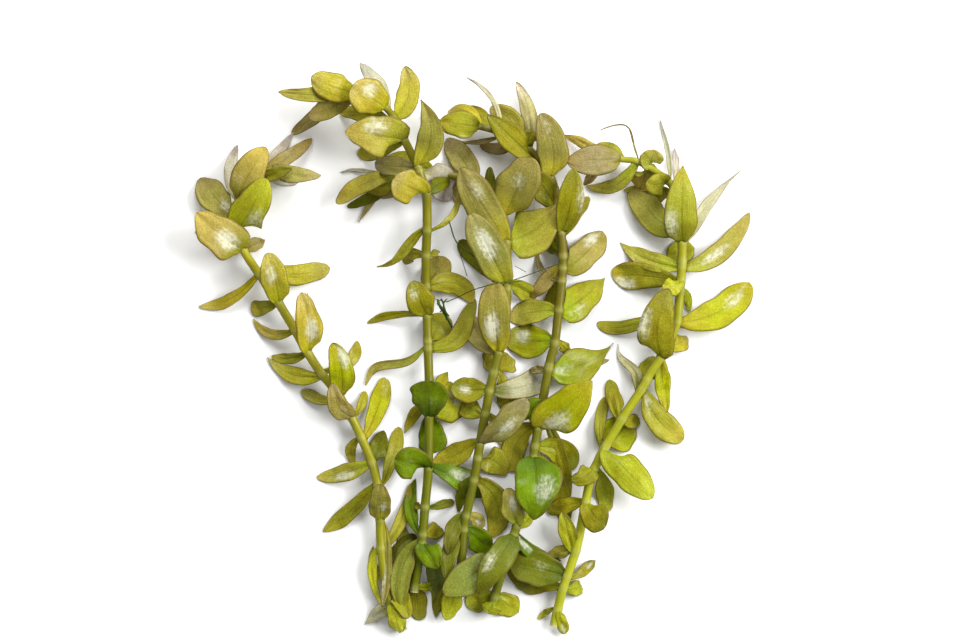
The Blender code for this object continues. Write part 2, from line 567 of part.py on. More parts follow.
def collar_rings(node, roots):
    """Sections of the collar from one leaf's base round the stem, the short way, to the other's."""
    fraction, centre, growth = node
    over = (UP - growth * UP.dot(growth)).normalized()
    right = growth.cross(over)
    angles = [math.atan2(out.dot(right), out.dot(over)) for _, out, _ in roots]
    turn = (angles[1] - angles[0] + math.pi) % math.tau - math.pi
    steps = max(1, round(abs(turn) / COLLAR_TURN))
    inner = (radius_at(fraction) + GAP) / math.cos(turn / steps / 2)
    rings = []
    for step in range(steps):
        angle = angles[0] + turn * (step + 0.5) / steps
        radial = over * math.cos(angle) + right * math.sin(angle)
        heading = (right * math.cos(angle) - over * math.sin(angle)) * math.copysign(1, turn)
        middle = centre + radial * (inner + COLLAR_WALL / 2)
        rings.append(section(middle, growth, growth.cross(heading), COLLAR_HALF_WIDTH, COLLAR_WALL / 2))
    return rings


def pair_shape(node, leaves, roots, tips):
    """Two leaves and the collar between their bases as one loft, from one tip to the other."""
    first = leaf_rings(leaves[0], roots[0], tips[0])
    rings = [[ring[0], ring[3], ring[2], ring[1]] for ring in reversed(first)]
    collar = collar_rings(node, roots)
    for ring in collar + leaf_rings(leaves[1], roots[1], tips[1]):
        rings.append(turned_to(ring, rings[-1]))
    strap = range(len(first) - 1, len(first) + len(collar))
    return loft(rings, on_ground(tips[0]), on_ground(tips[1]), strap)


def tree_of(points, faces):
    return BVHTree.FromPolygons([tuple(point) for point in points], faces)


def new_object(name, points, faces, collection):
    mesh = bpy.data.meshes.new(name)
    mesh.from_pydata([tuple(point) for point in points], [], faces)
    mesh.validate()
    obj = bpy.data.objects.new(name, mesh)
    collection.objects.link(obj)
    return obj


def flat_mesh_of(obj):
    """The object as the modifiers leave it, as points and faces in the bunch's frame."""
    bpy.context.view_layer.update()
    evaluated = obj.evaluated_get(bpy.context.evaluated_depsgraph_get())
    mesh = evaluated.to_mesh()
    points = [obj.matrix_world @ vertex.co for vertex in mesh.vertices]
    faces = [tuple(face.vertices) for face in mesh.polygons]
    evaluated.to_mesh_clear()
    return points, faces


def make_stem(name, stem, collection):
    """A stem as a bevelled curve along its route, made a mesh with its caps closed."""
    curve = bpy.data.curves.new(name, "CURVE")
    curve.dimensions = "3D"
    curve.bevel_depth = 1.0
    curve.bevel_resolution = 1
    curve.use_fill_caps = True
    axis = axis_of(stem)
    spline = curve.splines.new("POLY")
    spline.points.add(len(axis) - 1)
    for point, (fraction, centre) in zip(spline.points, axis):
        point.co = (*centre, 1)
        point.radius = radius_at(fraction)
    guide = bpy.data.objects.new(name, curve)
    collection.objects.link(guide)
    bpy.context.view_layer.update()
    evaluated = guide.evaluated_get(bpy.context.evaluated_depsgraph_get())
    mesh = bpy.data.meshes.new_from_object(evaluated)
    bpy.data.objects.remove(guide)
    close_caps(mesh)
    mesh.name = name
    obj = bpy.data.objects.new(name, mesh)
    collection.objects.link(obj)
    return obj


def close_caps(mesh):
    cage = bmesh.new()
    cage.from_mesh(mesh)
    bmesh.ops.remove_doubles(cage, verts=cage.verts, dist=CAP_WELD)
    bmesh.ops.recalc_face_normals(cage, faces=cage.faces)
    cage.to_mesh(mesh)
    cage.free()


def reach_of(node):
    """How far from the stem's axis a leaf that clasps it begins."""
    return radius_at(node[0]) + GAP + COLLAR_WALL + LEAF_FROM_COLLAR


def heights_to_try(start):
    """Tip heights from the natural one outwards. A tip aimed under the ground lays its leaf flat on it."""
    yield start
    for step in range(1, MOST_STEPS):
        yield start + step * STEP
        if start - step * STEP > LOWEST_TIP:
            yield start - step * STEP


def settle(leaf, root, stem_height, others, own):
    """How much the leaf touches there, and its tip, at the height nearest the natural one that clears all."""
    start = max(LOWEST_TIP, stem_height + TIP_OVER_STEM[leaf.face] + leaf.lift * MM)
    best = None
    for height in heights_to_try(start):
        tip = place(leaf.tip, height)
        tree = tree_of(*leaf_shape(leaf, root, tip, spare=GAP))
        blade_tree = tree_of(*leaf_shape(leaf, root, tip, skip=1))
        touching = sum(len(tree.overlap(other)) for other in others)
        touching += sum(len(blade_tree.overlap(other)) for other in own)
        if best is None or touching < best[0]:
            best = (touching, tip)
        if not touching:
            break
    return best


def grow_on(stem, leaf):
    """Grows a leaf to its stem with a union, and leaves the leaf itself as a helper.

    The exact solver drops some of these thin leaves, so the union is the manifold one.
    """
    join = stem.modifiers.new("grown together", "BOOLEAN")
    join.operation = "UNION"
    join.solver = "MANIFOLD"
    join.object = leaf
    leaf.hide_render = True
    leaf.display_type = "WIRE"


def finish_of(name, tone):
    material = bpy.data.materials.new(name)
    material.use_nodes = True
    shader = material.node_tree.nodes["Principled BSDF"]
    shader.inputs["Base Color"].default_value = (*TONES[tone], 1)
    shader.inputs["Roughness"].default_value = 0.4
    shader.inputs["Metallic"].default_value = 0.0
    material.diffuse_color = (*TONES[tone], 1)
    return material


def main():
    for obj in list(bpy.data.objects):
        bpy.data.objects.remove(obj)
    bunch = bpy.data.collections.new("lemon bacopa")
    cutters = bpy.data.collections.new("cutters")
    for collection in (bunch, cutters):
        bpy.context.scene.collection.children.link(collection)

    stems, trees, waiting = {}, {}, []
    for number, stem in enumerate(STEMS, 1):
        name = f"stem_{number}"
        stems[name] = make_stem(name, stem, bunch)
        stems[name].data.materials.append(finish_of(name, "stem"))
        trees[name] = [tree_of(*flat_mesh_of(stems[name]))]
        for place_on_plan, leaves in stem["fused"]:
            node = node_on(stem, place_on_plan)
            for leaf in leaves:
                waiting.append((name, name, node, leaf, root_of(node, leaf, GROWN_IN)))
        for count, (place_on_plan, leaves) in enumerate(stem["pairs"], 1):
            pair_name = f"leaf_pair_{number}_{count:02d}"
            node = node_on(stem, place_on_plan)
            roots = [root_of(node, leaf, reach_of(node)) for leaf in leaves]
            trees[pair_name] = [tree_of(*loft(collar_rings(node, roots), None, None))]
            for leaf, root in zip(leaves, roots):
                waiting.append((pair_name, name, node, leaf, root))

    waiting.sort(key=lambda entry: PLACING_ORDER.index(entry[3].face))
    pairs = {}
    for number, (name, stem_name, node, leaf, root) in enumerate(waiting):
        near = [tree for owner in {name, stem_name} for tree in trees[owner]]
        others = []
        for owner, grown in trees.items():
            if owner not in (name, stem_name):
                others += grown
        touching, tip = settle(leaf, root, node[1].z, others, near)
        if touching:
            raise RuntimeError(f"no height lets the leaf of {name} to {leaf.tip} clear its neighbours")
        shape = leaf_shape(leaf, root, tip)
        trees[name].append(tree_of(*shape))
        if name in stems:
            grow_on(stems[name], new_object(f"leaf {number:03d} of {name}", *shape, cutters))
        else:
            pairs.setdefault(name, (node, []))[1].append((leaf, root, tip))

    for name in sorted(pairs):
        node, grown = pairs[name]
        leaves, roots, tips = zip(*grown)
        obj = new_object(name, *pair_shape(node, leaves, roots, tips), bunch)
        obj.data.materials.append(finish_of(name, leaves[0].tone))


main()
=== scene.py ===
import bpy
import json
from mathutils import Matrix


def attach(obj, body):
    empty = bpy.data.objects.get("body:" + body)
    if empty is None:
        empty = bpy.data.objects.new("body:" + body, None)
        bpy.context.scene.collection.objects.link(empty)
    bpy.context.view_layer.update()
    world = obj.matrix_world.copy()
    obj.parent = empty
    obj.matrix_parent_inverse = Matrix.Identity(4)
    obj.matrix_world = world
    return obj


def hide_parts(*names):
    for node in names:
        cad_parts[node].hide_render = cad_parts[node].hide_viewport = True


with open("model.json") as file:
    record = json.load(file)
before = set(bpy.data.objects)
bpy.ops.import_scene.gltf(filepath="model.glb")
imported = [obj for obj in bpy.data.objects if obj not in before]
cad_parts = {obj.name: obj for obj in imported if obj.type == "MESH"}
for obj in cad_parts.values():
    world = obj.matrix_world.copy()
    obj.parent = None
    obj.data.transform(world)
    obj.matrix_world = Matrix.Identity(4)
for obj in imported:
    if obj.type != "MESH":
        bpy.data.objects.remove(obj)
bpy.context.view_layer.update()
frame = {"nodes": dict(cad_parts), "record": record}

import json
import math
import random
from collections import namedtuple

import bpy
from bpy.props import FloatProperty, FloatVectorProperty, IntProperty, PointerProperty
from mathutils import Matrix, Vector, noise

bl_info = {
    "name": "Lemon bacopa bunch",
    "version": (1, 0, 0),
    "blender": (4, 5, 0),
    "location": "View3D > Sidebar > Bacopa",
    "description": "Dresses five cut stems of lemon bacopa with leaves, stems, threads of algae and a studio",
    "category": "Add Mesh",
}

MM = 0.001
UP = Vector((0, 0, 1))

# Places are read off a plan of the bunch from above, with u to the right and v down
PLAN_UNIT = MM / 3
PLAN_CENTRE = (480, 320)
EYE_HEIGHT = 888.9 * MM
EYE_OVER = (2.4 * MM, 9.9 * MM)

# Stems
STEM_RADIUS = 1.5 * MM
TIP_RADIUS = 0.85 * MM
TAPER_FROM = 0.75
RING_WIDTH = 0.8 * MM
CUT_LENGTH = 0.9 * MM

# Leaves, as the solids under them have them
BASE_WIDTH = 0.62
WIDE_BASE_AT = 0.25
ROUND_TIP = 0.5
ALONG = 0.4
OUTWARD = {"front": 0.24, "side": 0.16, "back": 0.06}
SIDE_RISE = 0.12
LEAN = 0.5
CLASP_ENDS = 0.4
MOST_CLASP = 1.5 * MM
TIP_OVER_STEM = {"front": 7 * MM, "side": -7 * MM, "back": -12 * MM}
LOWEST_TIP = -2 * MM

# A solid's corner is a leaf's tip where it is seen this near to it, in plan units
TIP_REACH = 2.0

# How deep a blade's base sits in the stem, how it lands on the ground, and how narrow it may get
ROOT_DEPTH = 0.85
SOFT_LANDING = 0.25 * MM
REST_SPREAD = 0.6 * MM
LEAST_HALF = 0.12 * MM

# How far a painted highlight spreads, as shares of the blade's length and of its half width
PAINTED_HIGHLIGHT_LENGTH = 0.25
PAINTED_HIGHLIGHT_WIDTH = 0.55

# Colours along a leaf, as light scattered back: at its base, over its blade and at its tip
TONES = {
    "pale": ((0.42, 0.40, 0.12), (0.43, 0.41, 0.25), (0.32, 0.28, 0.22)),
    # The next tone has a whitish tip, which is partly a painted reflection of the lights on a wet leaf
    "silver": ((0.15, 0.16, 0.005), (0.50, 0.48, 0.22), (0.80, 0.77, 0.66)),
    "grey": ((0.38, 0.33, 0.08), (0.42, 0.38, 0.08), (0.42, 0.34, 0.13)),
    "light": ((0.62, 0.58, 0.03), (0.32, 0.30, 0.05), (0.38, 0.33, 0.09)),
    "straw": ((0.44, 0.48, 0.03), (0.43, 0.40, 0.05), (0.56, 0.47, 0.10)),
    "yellow": ((0.53, 0.51, 0.01), (0.54, 0.47, 0.035), (0.62, 0.53, 0.14)),
    "gold": ((0.32, 0.31, 0.01), (0.50, 0.41, 0.08), (0.58, 0.45, 0.08)),
    "lemon": ((0.46, 0.42, 0.02), (0.45, 0.48, 0.002), (0.50, 0.45, 0.02)),
    "lime": ((0.36, 0.40, 0.003), (0.50, 0.52, 0.02), (0.58, 0.62, 0.05)),
    "olive": ((0.28, 0.27, 0.004), (0.42, 0.41, 0.025), (0.48, 0.42, 0.035)),
    "green": ((0.33, 0.34, 0.01), (0.34, 0.32, 0.01), (0.28, 0.29, 0.025)),
    "bright": ((0.36, 0.46, 0.002), (0.39, 0.39, 0.005), (0.41, 0.39, 0.04)),
    "vivid": ((0.08, 0.15, 0.0005), (0.20, 0.32, 0.0005), (0.14, 0.19, 0.001)),
    "shade": ((0.18, 0.21, 0.01), (0.27, 0.31, 0.045), (0.30, 0.32, 0.03)),
    "dark": ((0.12, 0.16, 0.01), (0.19, 0.21, 0.003), (0.12, 0.12, 0.004)),
    "brown": ((0.30, 0.25, 0.012), (0.42, 0.35, 0.12), (0.44, 0.32, 0.08)),
}
# Whitish colour painted into a leaf where it carries a highlight, standing in for the lights reflected on a
# wet leaf
PAINTED_HIGHLIGHT_COLOR = (0.80, 0.80, 0.64)

# Colours of the five stems, as light scattered back: near the cut end and near the shoot tip
STEM_TONES = (
    ((0.28, 0.28, 0.01), (0.38, 0.34, 0.015)),
    ((0.14, 0.16, 0.003), (0.22, 0.20, 0.008)),
    ((0.13, 0.14, 0.005), (0.22, 0.20, 0.010)),
    ((0.17, 0.19, 0.006), (0.16, 0.13, 0.010)),
    ((0.42, 0.44, 0.02), (0.33, 0.32, 0.012)),
)

Blade = namedtuple("Blade", "tip width face tone bow sway lift point wide shine")


def blade(tip, width, face, tone, bow=0, sway=0, lift=0, point=0.3, wide=0.42, shine=None):
    """One leaf: its tip and width on the plan, the side of the stem that it grows from, and its tone.

    bow and sway bend its midrib sideways on the plan, and lift raises its tip in mm. point is 0 for a round
    tip, 1 for a sharp one and more for one that is drawn out thin, and wide says where along it a leaf is
    widest. The last value places a whitish highlight painted into the leaf's colour: where along it, where
    across it and how strong.
    """
    return Blade(tip, width, face, tone, bow, sway, lift, point, wide, shine)


STEM_1 = {
    "route": [
        (403, 631), (394, 612), (388, 594), (384, 572), (381, 548), (380, 520), (380, 500), (377, 482),
        (372, 463), (361, 437), (352, 418), (341, 399), (331, 385), (321, 373), (306, 350), (295, 330),
        (286, 315), (277, 300), (267, 285), (250, 261), (243, 249), (238, 238), (236, 225), (236, 212),
        (238, 200), (246, 188), (258, 178), (268, 171), (276, 168),
    ],
    "heights": [(0, 2.6), (0.12, 4.2), (0.5, 4.6), (0.8, 5.4), (0.93, 8), (1, 9)],
    "pairs": [
        ((380, 519), [
            blade((380, 484), 21, "front", "light", point=0, shine=(0.4, 0.3, 0.6)),
            blade((383, 607), 10, "side", "light", bow=3, wide=0.6, shine=(0.7, 0.6, 0.7))]),
        ((378, 486), [
            blade((323, 531), 17, "side", "olive", bow=-6, wide=0.5),
            blade((399, 425), 15, "side", "olive", bow=-2, wide=0.7, point=0)]),
        ((361, 438), [
            blade((385, 377), 20, "side", "lemon", bow=-1, wide=0.6, point=0, shine=(0.9, 0.2, 0.6)),
            blade((356, 464), 10, "side", "olive", bow=4)]),
        ((351, 418), [
            blade((333, 383), 22, "front", "grey", bow=-6, wide=0.35, shine=(0.3, 0.2, 0.4)),
            blade((365, 391), 9, "side", "olive", wide=0.6, point=0)]),
        ((340, 397), [
            blade((332, 343), 25, "front", "lemon", bow=4, wide=0.4, point=0, shine=(0.75, 0.5, 0.9)),
            blade((303, 390), 12, "side", "straw", bow=-2, wide=0.7, point=0)]),
        ((321, 374), [
            blade((268, 357), 17, "side", "yellow", bow=-4, wide=0.32, point=1),
            blade((358, 340), 12, "side", "olive", bow=10, wide=0.6, point=0)]),
        ((308, 352), [
            blade((301, 293), 26, "front", "yellow", bow=3, wide=0.4, point=0, shine=(0.4, 0.2, 1.0)),
            blade((273, 356), 11, "side", "olive", point=0.1, bow=-2)]),
        ((278, 302), [
            blade((267, 253), 27, "front", "yellow", bow=1, point=0, shine=(0.6, -0.2, 0.8)),
            blade((252, 309), 17, "side", "olive", wide=0.68, point=0)]),
        ((259, 275), [
            blade((199, 307), 12, "side", "yellow", bow=-7, wide=0.58, point=0.4),
            blade((330, 268), 22, "side", "yellow", bow=7, wide=0.58, point=0)]),
        ((244, 250), [
            blade((197, 213), 40, "front", "gold", bow=-1, wide=0.24, point=0.1, shine=(0.35, 0.0, 1.0)),
            blade((264, 240), 14, "side", "brown", wide=0.3, point=0.5)]),
        ((239, 228), [
            blade((265, 178), 38, "front", "lime", wide=0.27, point=0.1, bow=1, shine=(0.35, 0.5, 0.7)),
            blade((195, 232), 10, "side", "brown")]),
    ],
    "fused": [
        ((391, 606), [blade((364, 625), 14, "side", "pale", wide=0.2, point=2, lift=2)]),
        ((391, 603), [blade((401, 632), 18, "front", "lime", lift=-4, point=0, wide=0.6)]),
        ((387, 590), [
            blade((408, 618), 19, "side", "bright", point=0),
            blade((399, 521), 19, "side", "shade", bow=5)]),
        ((385, 578), [
            blade((415, 534), 24, "back", "dark", wide=0.5, point=0),
            blade((374, 545), 9, "side", "olive", bow=-2)]),
        ((381, 548), [
            blade((381, 604), 10, "side", "lime", bow=2),
            blade((411, 482), 12, "side", "olive")]),
        ((371, 463), [
            blade((316, 476), 17, "side", "straw", bow=-3, wide=0.4, shine=(0.45, -0.3, 0.9)),
            blade((384, 430), 18, "back", "dark")]),
        ((295, 330), [
            blade((254, 319), 10, "side", "gold", bow=-6),
            blade((308, 293), 6, "side", "brown")]),
        ((237, 214), [blade((201, 176), 28, "side", "grey", point=0, wide=0.5, shine=(0.15, 0.2, 0.8))]),
        ((239, 199), [
            blade((267, 148), 31, "front", "gold", point=0.1, bow=-2, shine=(0.35, -0.5, 0.4)),
            blade((238, 146), 14, "side", "pale", lift=-5, bow=-2, point=0.5)]),
        ((258, 178), [
            blade((294, 134), 12, "back", "pale", point=0.5),
            blade((292, 168), 12, "front", "green")]),
        ((266, 172), [
            blade((313, 138), 14, "side", "brown", bow=7, point=0.1),
            blade((301, 181), 13, "side", "pale")]),
        ((273, 169), [blade((321, 174), 17, "front", "grey", lift=-3, wide=0.35, bow=2)]),
    ],
}

STEM_2 = {
    "route": [
        (414, 592), (416, 578), (419, 560), (422, 543), (425, 507), (428, 474), (429, 435), (429, 397),
        (429, 378), (428, 348), (427, 315), (426, 286), (426, 255), (427, 229), (427, 210), (426, 192),
        (421, 177), (417, 165), (410, 151), (404, 139), (397, 124), (389, 111), (376, 100), (362, 94),
        (345, 92), (330, 96),
    ],
    "heights": [(0, 2.6), (0.1, 4.4), (0.55, 5.4), (0.68, 11), (0.74, 13), (1, 12)],
    "pairs": [
        ((422, 543), [
            blade((438, 568), 25, "front", "vivid", wide=0.35, point=0.2, lift=-2),
            blade((402, 611), 20, "side", "shade", bow=4, wide=0.5)]),
        ((429, 467), [
            blade((395, 460), 34, "front", "vivid", wide=0.45, bow=1, point=0, shine=(0.5, 0.2, 0.3)),
            blade((488, 494), 24, "side", "vivid", wide=0.6, point=0, shine=(0.5, -0.2, 1.0))]),
        ((429, 416), [
            blade((429, 381), 37, "front", "vivid", wide=0.72, point=-0.1, shine=(0.5, 0.2, 0.3)),
            blade((434, 453), 28, "back", "vivid", wide=0.75, point=0)]),
        ((429, 404), [
            blade((464, 400), 40, "side", "bright", wide=0.5, point=0, shine=(0.75, -0.3, 1.0)),
            blade((405, 433), 12, "side", "green", wide=0.35, point=0.8)]),
        ((428, 348), [
            blade((475, 299), 18, "side", "green", bow=7, sway=3, wide=0.35, point=0.1),
            blade((364, 386), 9, "side", "straw", bow=1, sway=-6, wide=0.5, point=0.1)]),
        ((428, 315), [
            blade((413, 281), 27, "front", "green", wide=0.4, point=0.1, shine=(0.7, -0.3, 0.6)),
            blade((368, 323), 8, "side", "green", bow=4, wide=0.65)]),
        ((427, 286), [
            blade((472, 303), 22, "side", "olive", bow=-10, wide=0.4, point=0.1),
            blade((446, 258), 27, "back", "straw", wide=0.6, point=0.1)]),
        ((427, 230), [
            blade((377, 267), 10, "side", "olive", wide=0.3, point=1.2, bow=-8, sway=2),
            blade((458, 183), 6, "side", "olive", bow=7)]),
        ((427, 192), [
            blade((394, 178), 34, "front", "yellow", wide=0.55, point=0.1),
            blade((451, 182), 14, "side", "dark", bow=-4, point=0.1)]),
        ((417, 166), [
            blade((421, 99), 27, "front", "light", bow=10, wide=0.4, point=1.2),
            blade((373, 163), 20, "side", "grey", point=0)]),
        ((404, 140), [
            blade((345, 132), 42, "front", "straw", wide=0.26, point=0.5, bow=2, shine=(0.5, 0.5, 0.8)),
            blade((359, 155), 18, "side", "olive", lift=-8, wide=0.6, point=0)]),
        ((394, 118), [
            blade((404, 66), 23, "side", "yellow", bow=5, wide=0.36, point=0),
            blade((337, 113), 17, "side", "olive", bow=6, lift=-5)]),
    ],
    "fused": [
        ((414, 586), [
            blade((438, 586), 9, "side", "lime"),
            blade((419, 620), 20, "back", "green", wide=0.6, point=0)]),
        ((420, 553), [blade((436, 612), 20, "side", "shade", bow=-4, wide=0.5, point=0)]),
        ((423, 533), [
            blade((441, 526), 18, "side", "green", wide=0.6, point=0),
            blade((416, 478), 13, "side", "vivid", bow=-2)]),
        ((425, 507), [
            blade((456, 500), 9, "side", "dark", wide=0.6),
            blade((414, 504), 7, "side", "green")]),
        ((429, 390), [blade((448, 371), 12, "side", "green", point=0.8)]),
        ((428, 341), [blade((446, 315), 30, "back", "olive", wide=0.6, point=0.1)]),
        ((426, 255), [
            blade((406, 265), 14, "side", "olive", bow=5, wide=0.6, point=0.1),
            blade((438, 249), 7, "side", "olive", point=0.8)]),
        ((419, 171), [blade((453, 201), 32, "back", "pale", wide=0.5, point=0, bow=-5)]),
        ((385, 108), [
            blade((352, 86), 36, "front", "yellow", wide=0.5, point=0, shine=(0.6, 0.4, 0.8)),
            blade((360, 64), 17, "side", "pale", bow=-1, lift=3)]),
        ((355, 94), [
            blade((311, 77), 28, "front", "yellow", bow=-3, wide=0.5, point=0),
            blade((309, 118), 19, "side", "grey", wide=0.6, point=0, lift=3, bow=3)]),
        ((340, 94), [
            blade((279, 92), 15, "front", "straw", lift=-2, bow=-4),
            blade((292, 134), 16, "back", "brown", point=0)]),
    ],
}

STEM_3 = {
    "route": [
        (447, 618), (452, 602), (457, 585), (461, 565), (464, 528), (467, 512), (475, 475), (480, 443),
        (487, 405), (490, 388), (499, 351), (503, 330), (506, 308), (507, 285), (507, 260), (506, 235),
        (503, 215), (498, 200), (488, 188), (472, 180), (455, 176), (438, 174), (420, 174), (400, 175),
        (380, 180),
    ],
    "heights": [(0, 2.6), (0.1, 4.4), (0.5, 5.6), (0.68, 6.4), (0.78, 4.3), (1, 4)],
    "pairs": [
        ((458, 587), [
            blade((446, 620), 20, "front", "lime", lift=-5, wide=0.5, point=0.3),
            blade((436, 616), 11, "side", "green", bow=2)]),
        ((474, 480), [
            blade((491, 538), 28, "side", "olive", bow=-9, wide=0.5),
            blade((459, 512), 12, "side", "dark")]),
        ((480, 443), [
            blade((432, 463), 22, "side", "olive", wide=0.5, bow=-5, point=0.2),
            blade((527, 399), 26, "front", "grey", bow=1, wide=0.55, point=0, shine=(0.5, 0.2, 0.7))]),
        ((485, 415), [
            blade((462, 404), 23, "side", "olive", wide=0.7, point=0),
            blade((501, 444), 12, "side", "olive", wide=0.3)]),
        ((490, 390), [
            blade((452, 385), 25, "side", "green", bow=-3, wide=0.5, point=0, shine=(0.6, 0.0, 0.8)),
            blade((552, 374), 26, "side", "silver", bow=2, wide=0.6, point=0, shine=(0.85, 0.0, 0.8))]),
        ((494, 372), [
            blade((504, 351), 36, "back", "olive", wide=0.5, point=0),
            blade((505, 413), 17, "side", "olive", wide=0.6)]),
        ((499, 352), [
            blade((494, 282), 33, "front", "light", wide=0.5, point=-0.3, shine=(0.4, -0.2, 1.0)),
            blade((467, 317), 24, "side", "grey", wide=0.6, point=0)]),
        ((507, 284), [
            blade((470, 213), 35, "front", "light", bow=2, wide=0.45, point=0, shine=(0.6, 0.0, 1.0)),
            blade((535, 299), 18, "side", "olive")]),
        ((507, 241), [
            blade((460, 168), 34, "front", "light", bow=1, wide=0.5, point=0, shine=(0.7, 0.2, 0.5)),
            blade((559, 202), 47, "side", "straw", bow=4, lift=6, wide=0.25, point=1.5)]),
        ((505, 216), [
            blade((530, 157), 42, "front", "light", wide=0.5, point=0, shine=(0.6, -0.1, 0.5)),
            blade((490, 167), 12, "side", "dark", wide=0.6, point=0)]),
    ],
    "fused": [
        ((466, 515), [
            blade((448, 554), 16, "side", "dark"),
            blade((484, 528), 14, "side", "grey", shine=(0.5, 0, 0.8))]),
        ((464, 530), [
            blade((490, 556), 24, "side", "vivid", wide=0.4),
            blade((447, 583), 17, "side", "dark")]),
        ((478, 458), [blade((506, 475), 26, "back", "olive", bow=-5)]),
        ((504, 288), [blade((459, 241), 17, "back", "dark", wide=0.8, point=0)]),
        ((472, 180), [
            blade((446, 140), 25, "side", "grey", point=0, bow=-2),
            blade((456, 203), 24, "side", "grey")]),
        ((430, 174), [blade((386, 158), 18, "side", "olive", lift=-1)]),
        ((410, 174), [
            blade((377, 195), 24, "back", "grey", point=0),
            blade((362, 178), 11, "side", "brown")]),
        ((396, 176), [blade((335, 203), 18, "front", "straw", bow=6, lift=-3, wide=0.6, point=0)]),
        ((391, 177), [
            blade((361, 183), 19, "front", "green", lift=-5, bow=-7),
            blade((348, 207), 12, "side", "dark", point=0)]),
        ((385, 179), [
            blade((358, 223), 6, "back", "brown", point=0.8),
            blade((340, 172), 4, "side", "pale")]),
    ],
}

STEM_4 = {
    "route": [
        (490, 612), (495, 595), (501, 575), (507, 555), (514, 535), (521, 512), (527, 490), (532, 465),
        (538, 428), (542, 405), (550, 362), (555, 342), (560, 298), (562, 278), (563, 258), (562, 240),
        (560, 222), (558, 203), (554, 186), (549, 174), (540, 160), (527, 148), (510, 138), (492, 130),
        (474, 126), (456, 124),
    ],
    "heights": [(0, 2.6), (0.1, 4.4), (0.5, 5.2), (0.8, 6), (1, 8)],
    "pairs": [
        ((495, 596), [
            blade((468, 608), 23, "side", "lime", wide=0.6, point=0),
            blade((519, 611), 25, "side", "lime", point=0.7, wide=0.45, bow=2)]),
        ((507, 555), [
            blade((444, 594), 33, "front", "shade", lift=-3, wide=0.5, point=0.1),
            blade((524, 590), 18, "back", "green", point=0.1)]),
        ((514, 535), [
            blade((478, 594), 29, "front", "dark", wide=0.45, shine=(0.55, 0.5, 0.6)),
            blade((561, 560), 15, "side", "vivid", bow=8, shine=(0.15, 0.0, 1.0))]),
        ((534, 457), [
            blade((533, 520), 47, "front", "vivid", bow=-2, wide=0.4, point=0.6, shine=(0.55, -0.4, 0.8)),
            blade((566, 525), 24, "side", "green", wide=0.5)]),
        ((538, 428), [
            blade((592, 381), 43, "front", "lemon", wide=0.36, point=0.7, shine=(0.25, 0.3, 0.9)),
            blade((512, 472), 25, "side", "olive", wide=0.5, point=0, bow=5)]),
        ((540, 418), [
            blade((526, 400), 26, "front", "vivid", lift=-5, wide=0.6, point=0),
            blade((566, 505), 15, "side", "green", wide=0.6)]),
        ((549, 370), [
            blade((613, 343), 38, "side", "bright", bow=4, wide=0.3, point=3.4, shine=(0.1, 0.0, 0.6)),
            blade((530, 371), 8, "side", "brown")]),
        ((555, 342), [
            blade((508, 337), 34, "side", "bright", wide=0.5, point=0, bow=-3, shine=(0.65, 0.3, 0.9)),
            blade((568, 354), 11, "side", "olive", point=0.6)]),
        ((559, 311), [
            blade((606, 276), 35, "side", "bright", wide=0.24, point=1.4, bow=-1, shine=(0.25, 0.5, 0.5)),
            blade((508, 319), 24, "side", "straw", wide=0.5, bow=1)]),
        ((562, 268), [
            blade((603, 230), 30, "side", "gold", wide=0.36, point=0, shine=(0.75, -0.4, 0.9)),
            blade((530, 297), 15, "side", "brown", bow=-3)]),
        ((562, 232), [
            blade((573, 168), 25, "front", "green", bow=2, wide=0.5, point=0.3, shine=(0.6, 0.9, 0.7)),
            blade((589, 195), 15, "side", "olive", bow=-4, point=0)]),
    ],
    "fused": [
        ((493, 601), [blade((489, 614), 20, "front", "lime", lift=-5, wide=0.6, point=0)]),
        ((518, 525), [
            blade((508, 488), 21, "front", "straw", lift=-4, point=0, shine=(0.6, 0.2, 0.8)),
            blade((532, 510), 10, "side", "lime")]),
        ((535, 446), [blade((573, 470), 26, "side", "green", bow=-7, wide=0.5)]),
        ((549, 366), [blade((610, 360), 8, "back", "grey", wide=0.7, bow=2)]),
        ((562, 281), [
            blade((542, 319), 13, "back", "green"),
            blade((538, 251), 6, "side", "brown", bow=-5)]),
        ((563, 256), [blade((548, 226), 22, "back", "dark", point=0)]),
        ((558, 203), [blade((532, 172), 26, "side", "green", bow=3, point=0)]),
        ((550, 177), [
            blade((539, 113), 31, "front", "light", bow=6, lift=-1, point=0.1, shine=(0.85, 0.0, 0.5))]),
        ((538, 158), [
            blade((488, 115), 25, "side", "green", bow=5),
            blade((537, 118), 10, "side", "olive", lift=-3)]),
        ((527, 148), [
            blade((520, 132), 26, "front", "green", lift=-4, point=0),
            blade((516, 82), 16, "side", "silver", bow=2, lift=3, point=0.4)]),
        ((515, 141), [
            blade((479, 145), 13, "back", "brown", bow=-5),
            blade((489, 109), 23, "side", "straw", bow=4, point=0)]),
        ((500, 134), [
            blade((467, 77), 5, "side", "pale", lift=4, bow=5),
            blade((462, 142), 5, "side", "brown")]),
        ((487, 129), [blade((466, 108), 16, "side", "green")]),
        ((478, 127), [
            blade((440, 122), 28, "front", "olive", lift=-5, point=0),
            blade((447, 112), 15, "side", "yellow", bow=4)]),
        ((458, 124), [blade((421, 117), 3, "back", "pale")]),
    ],
}

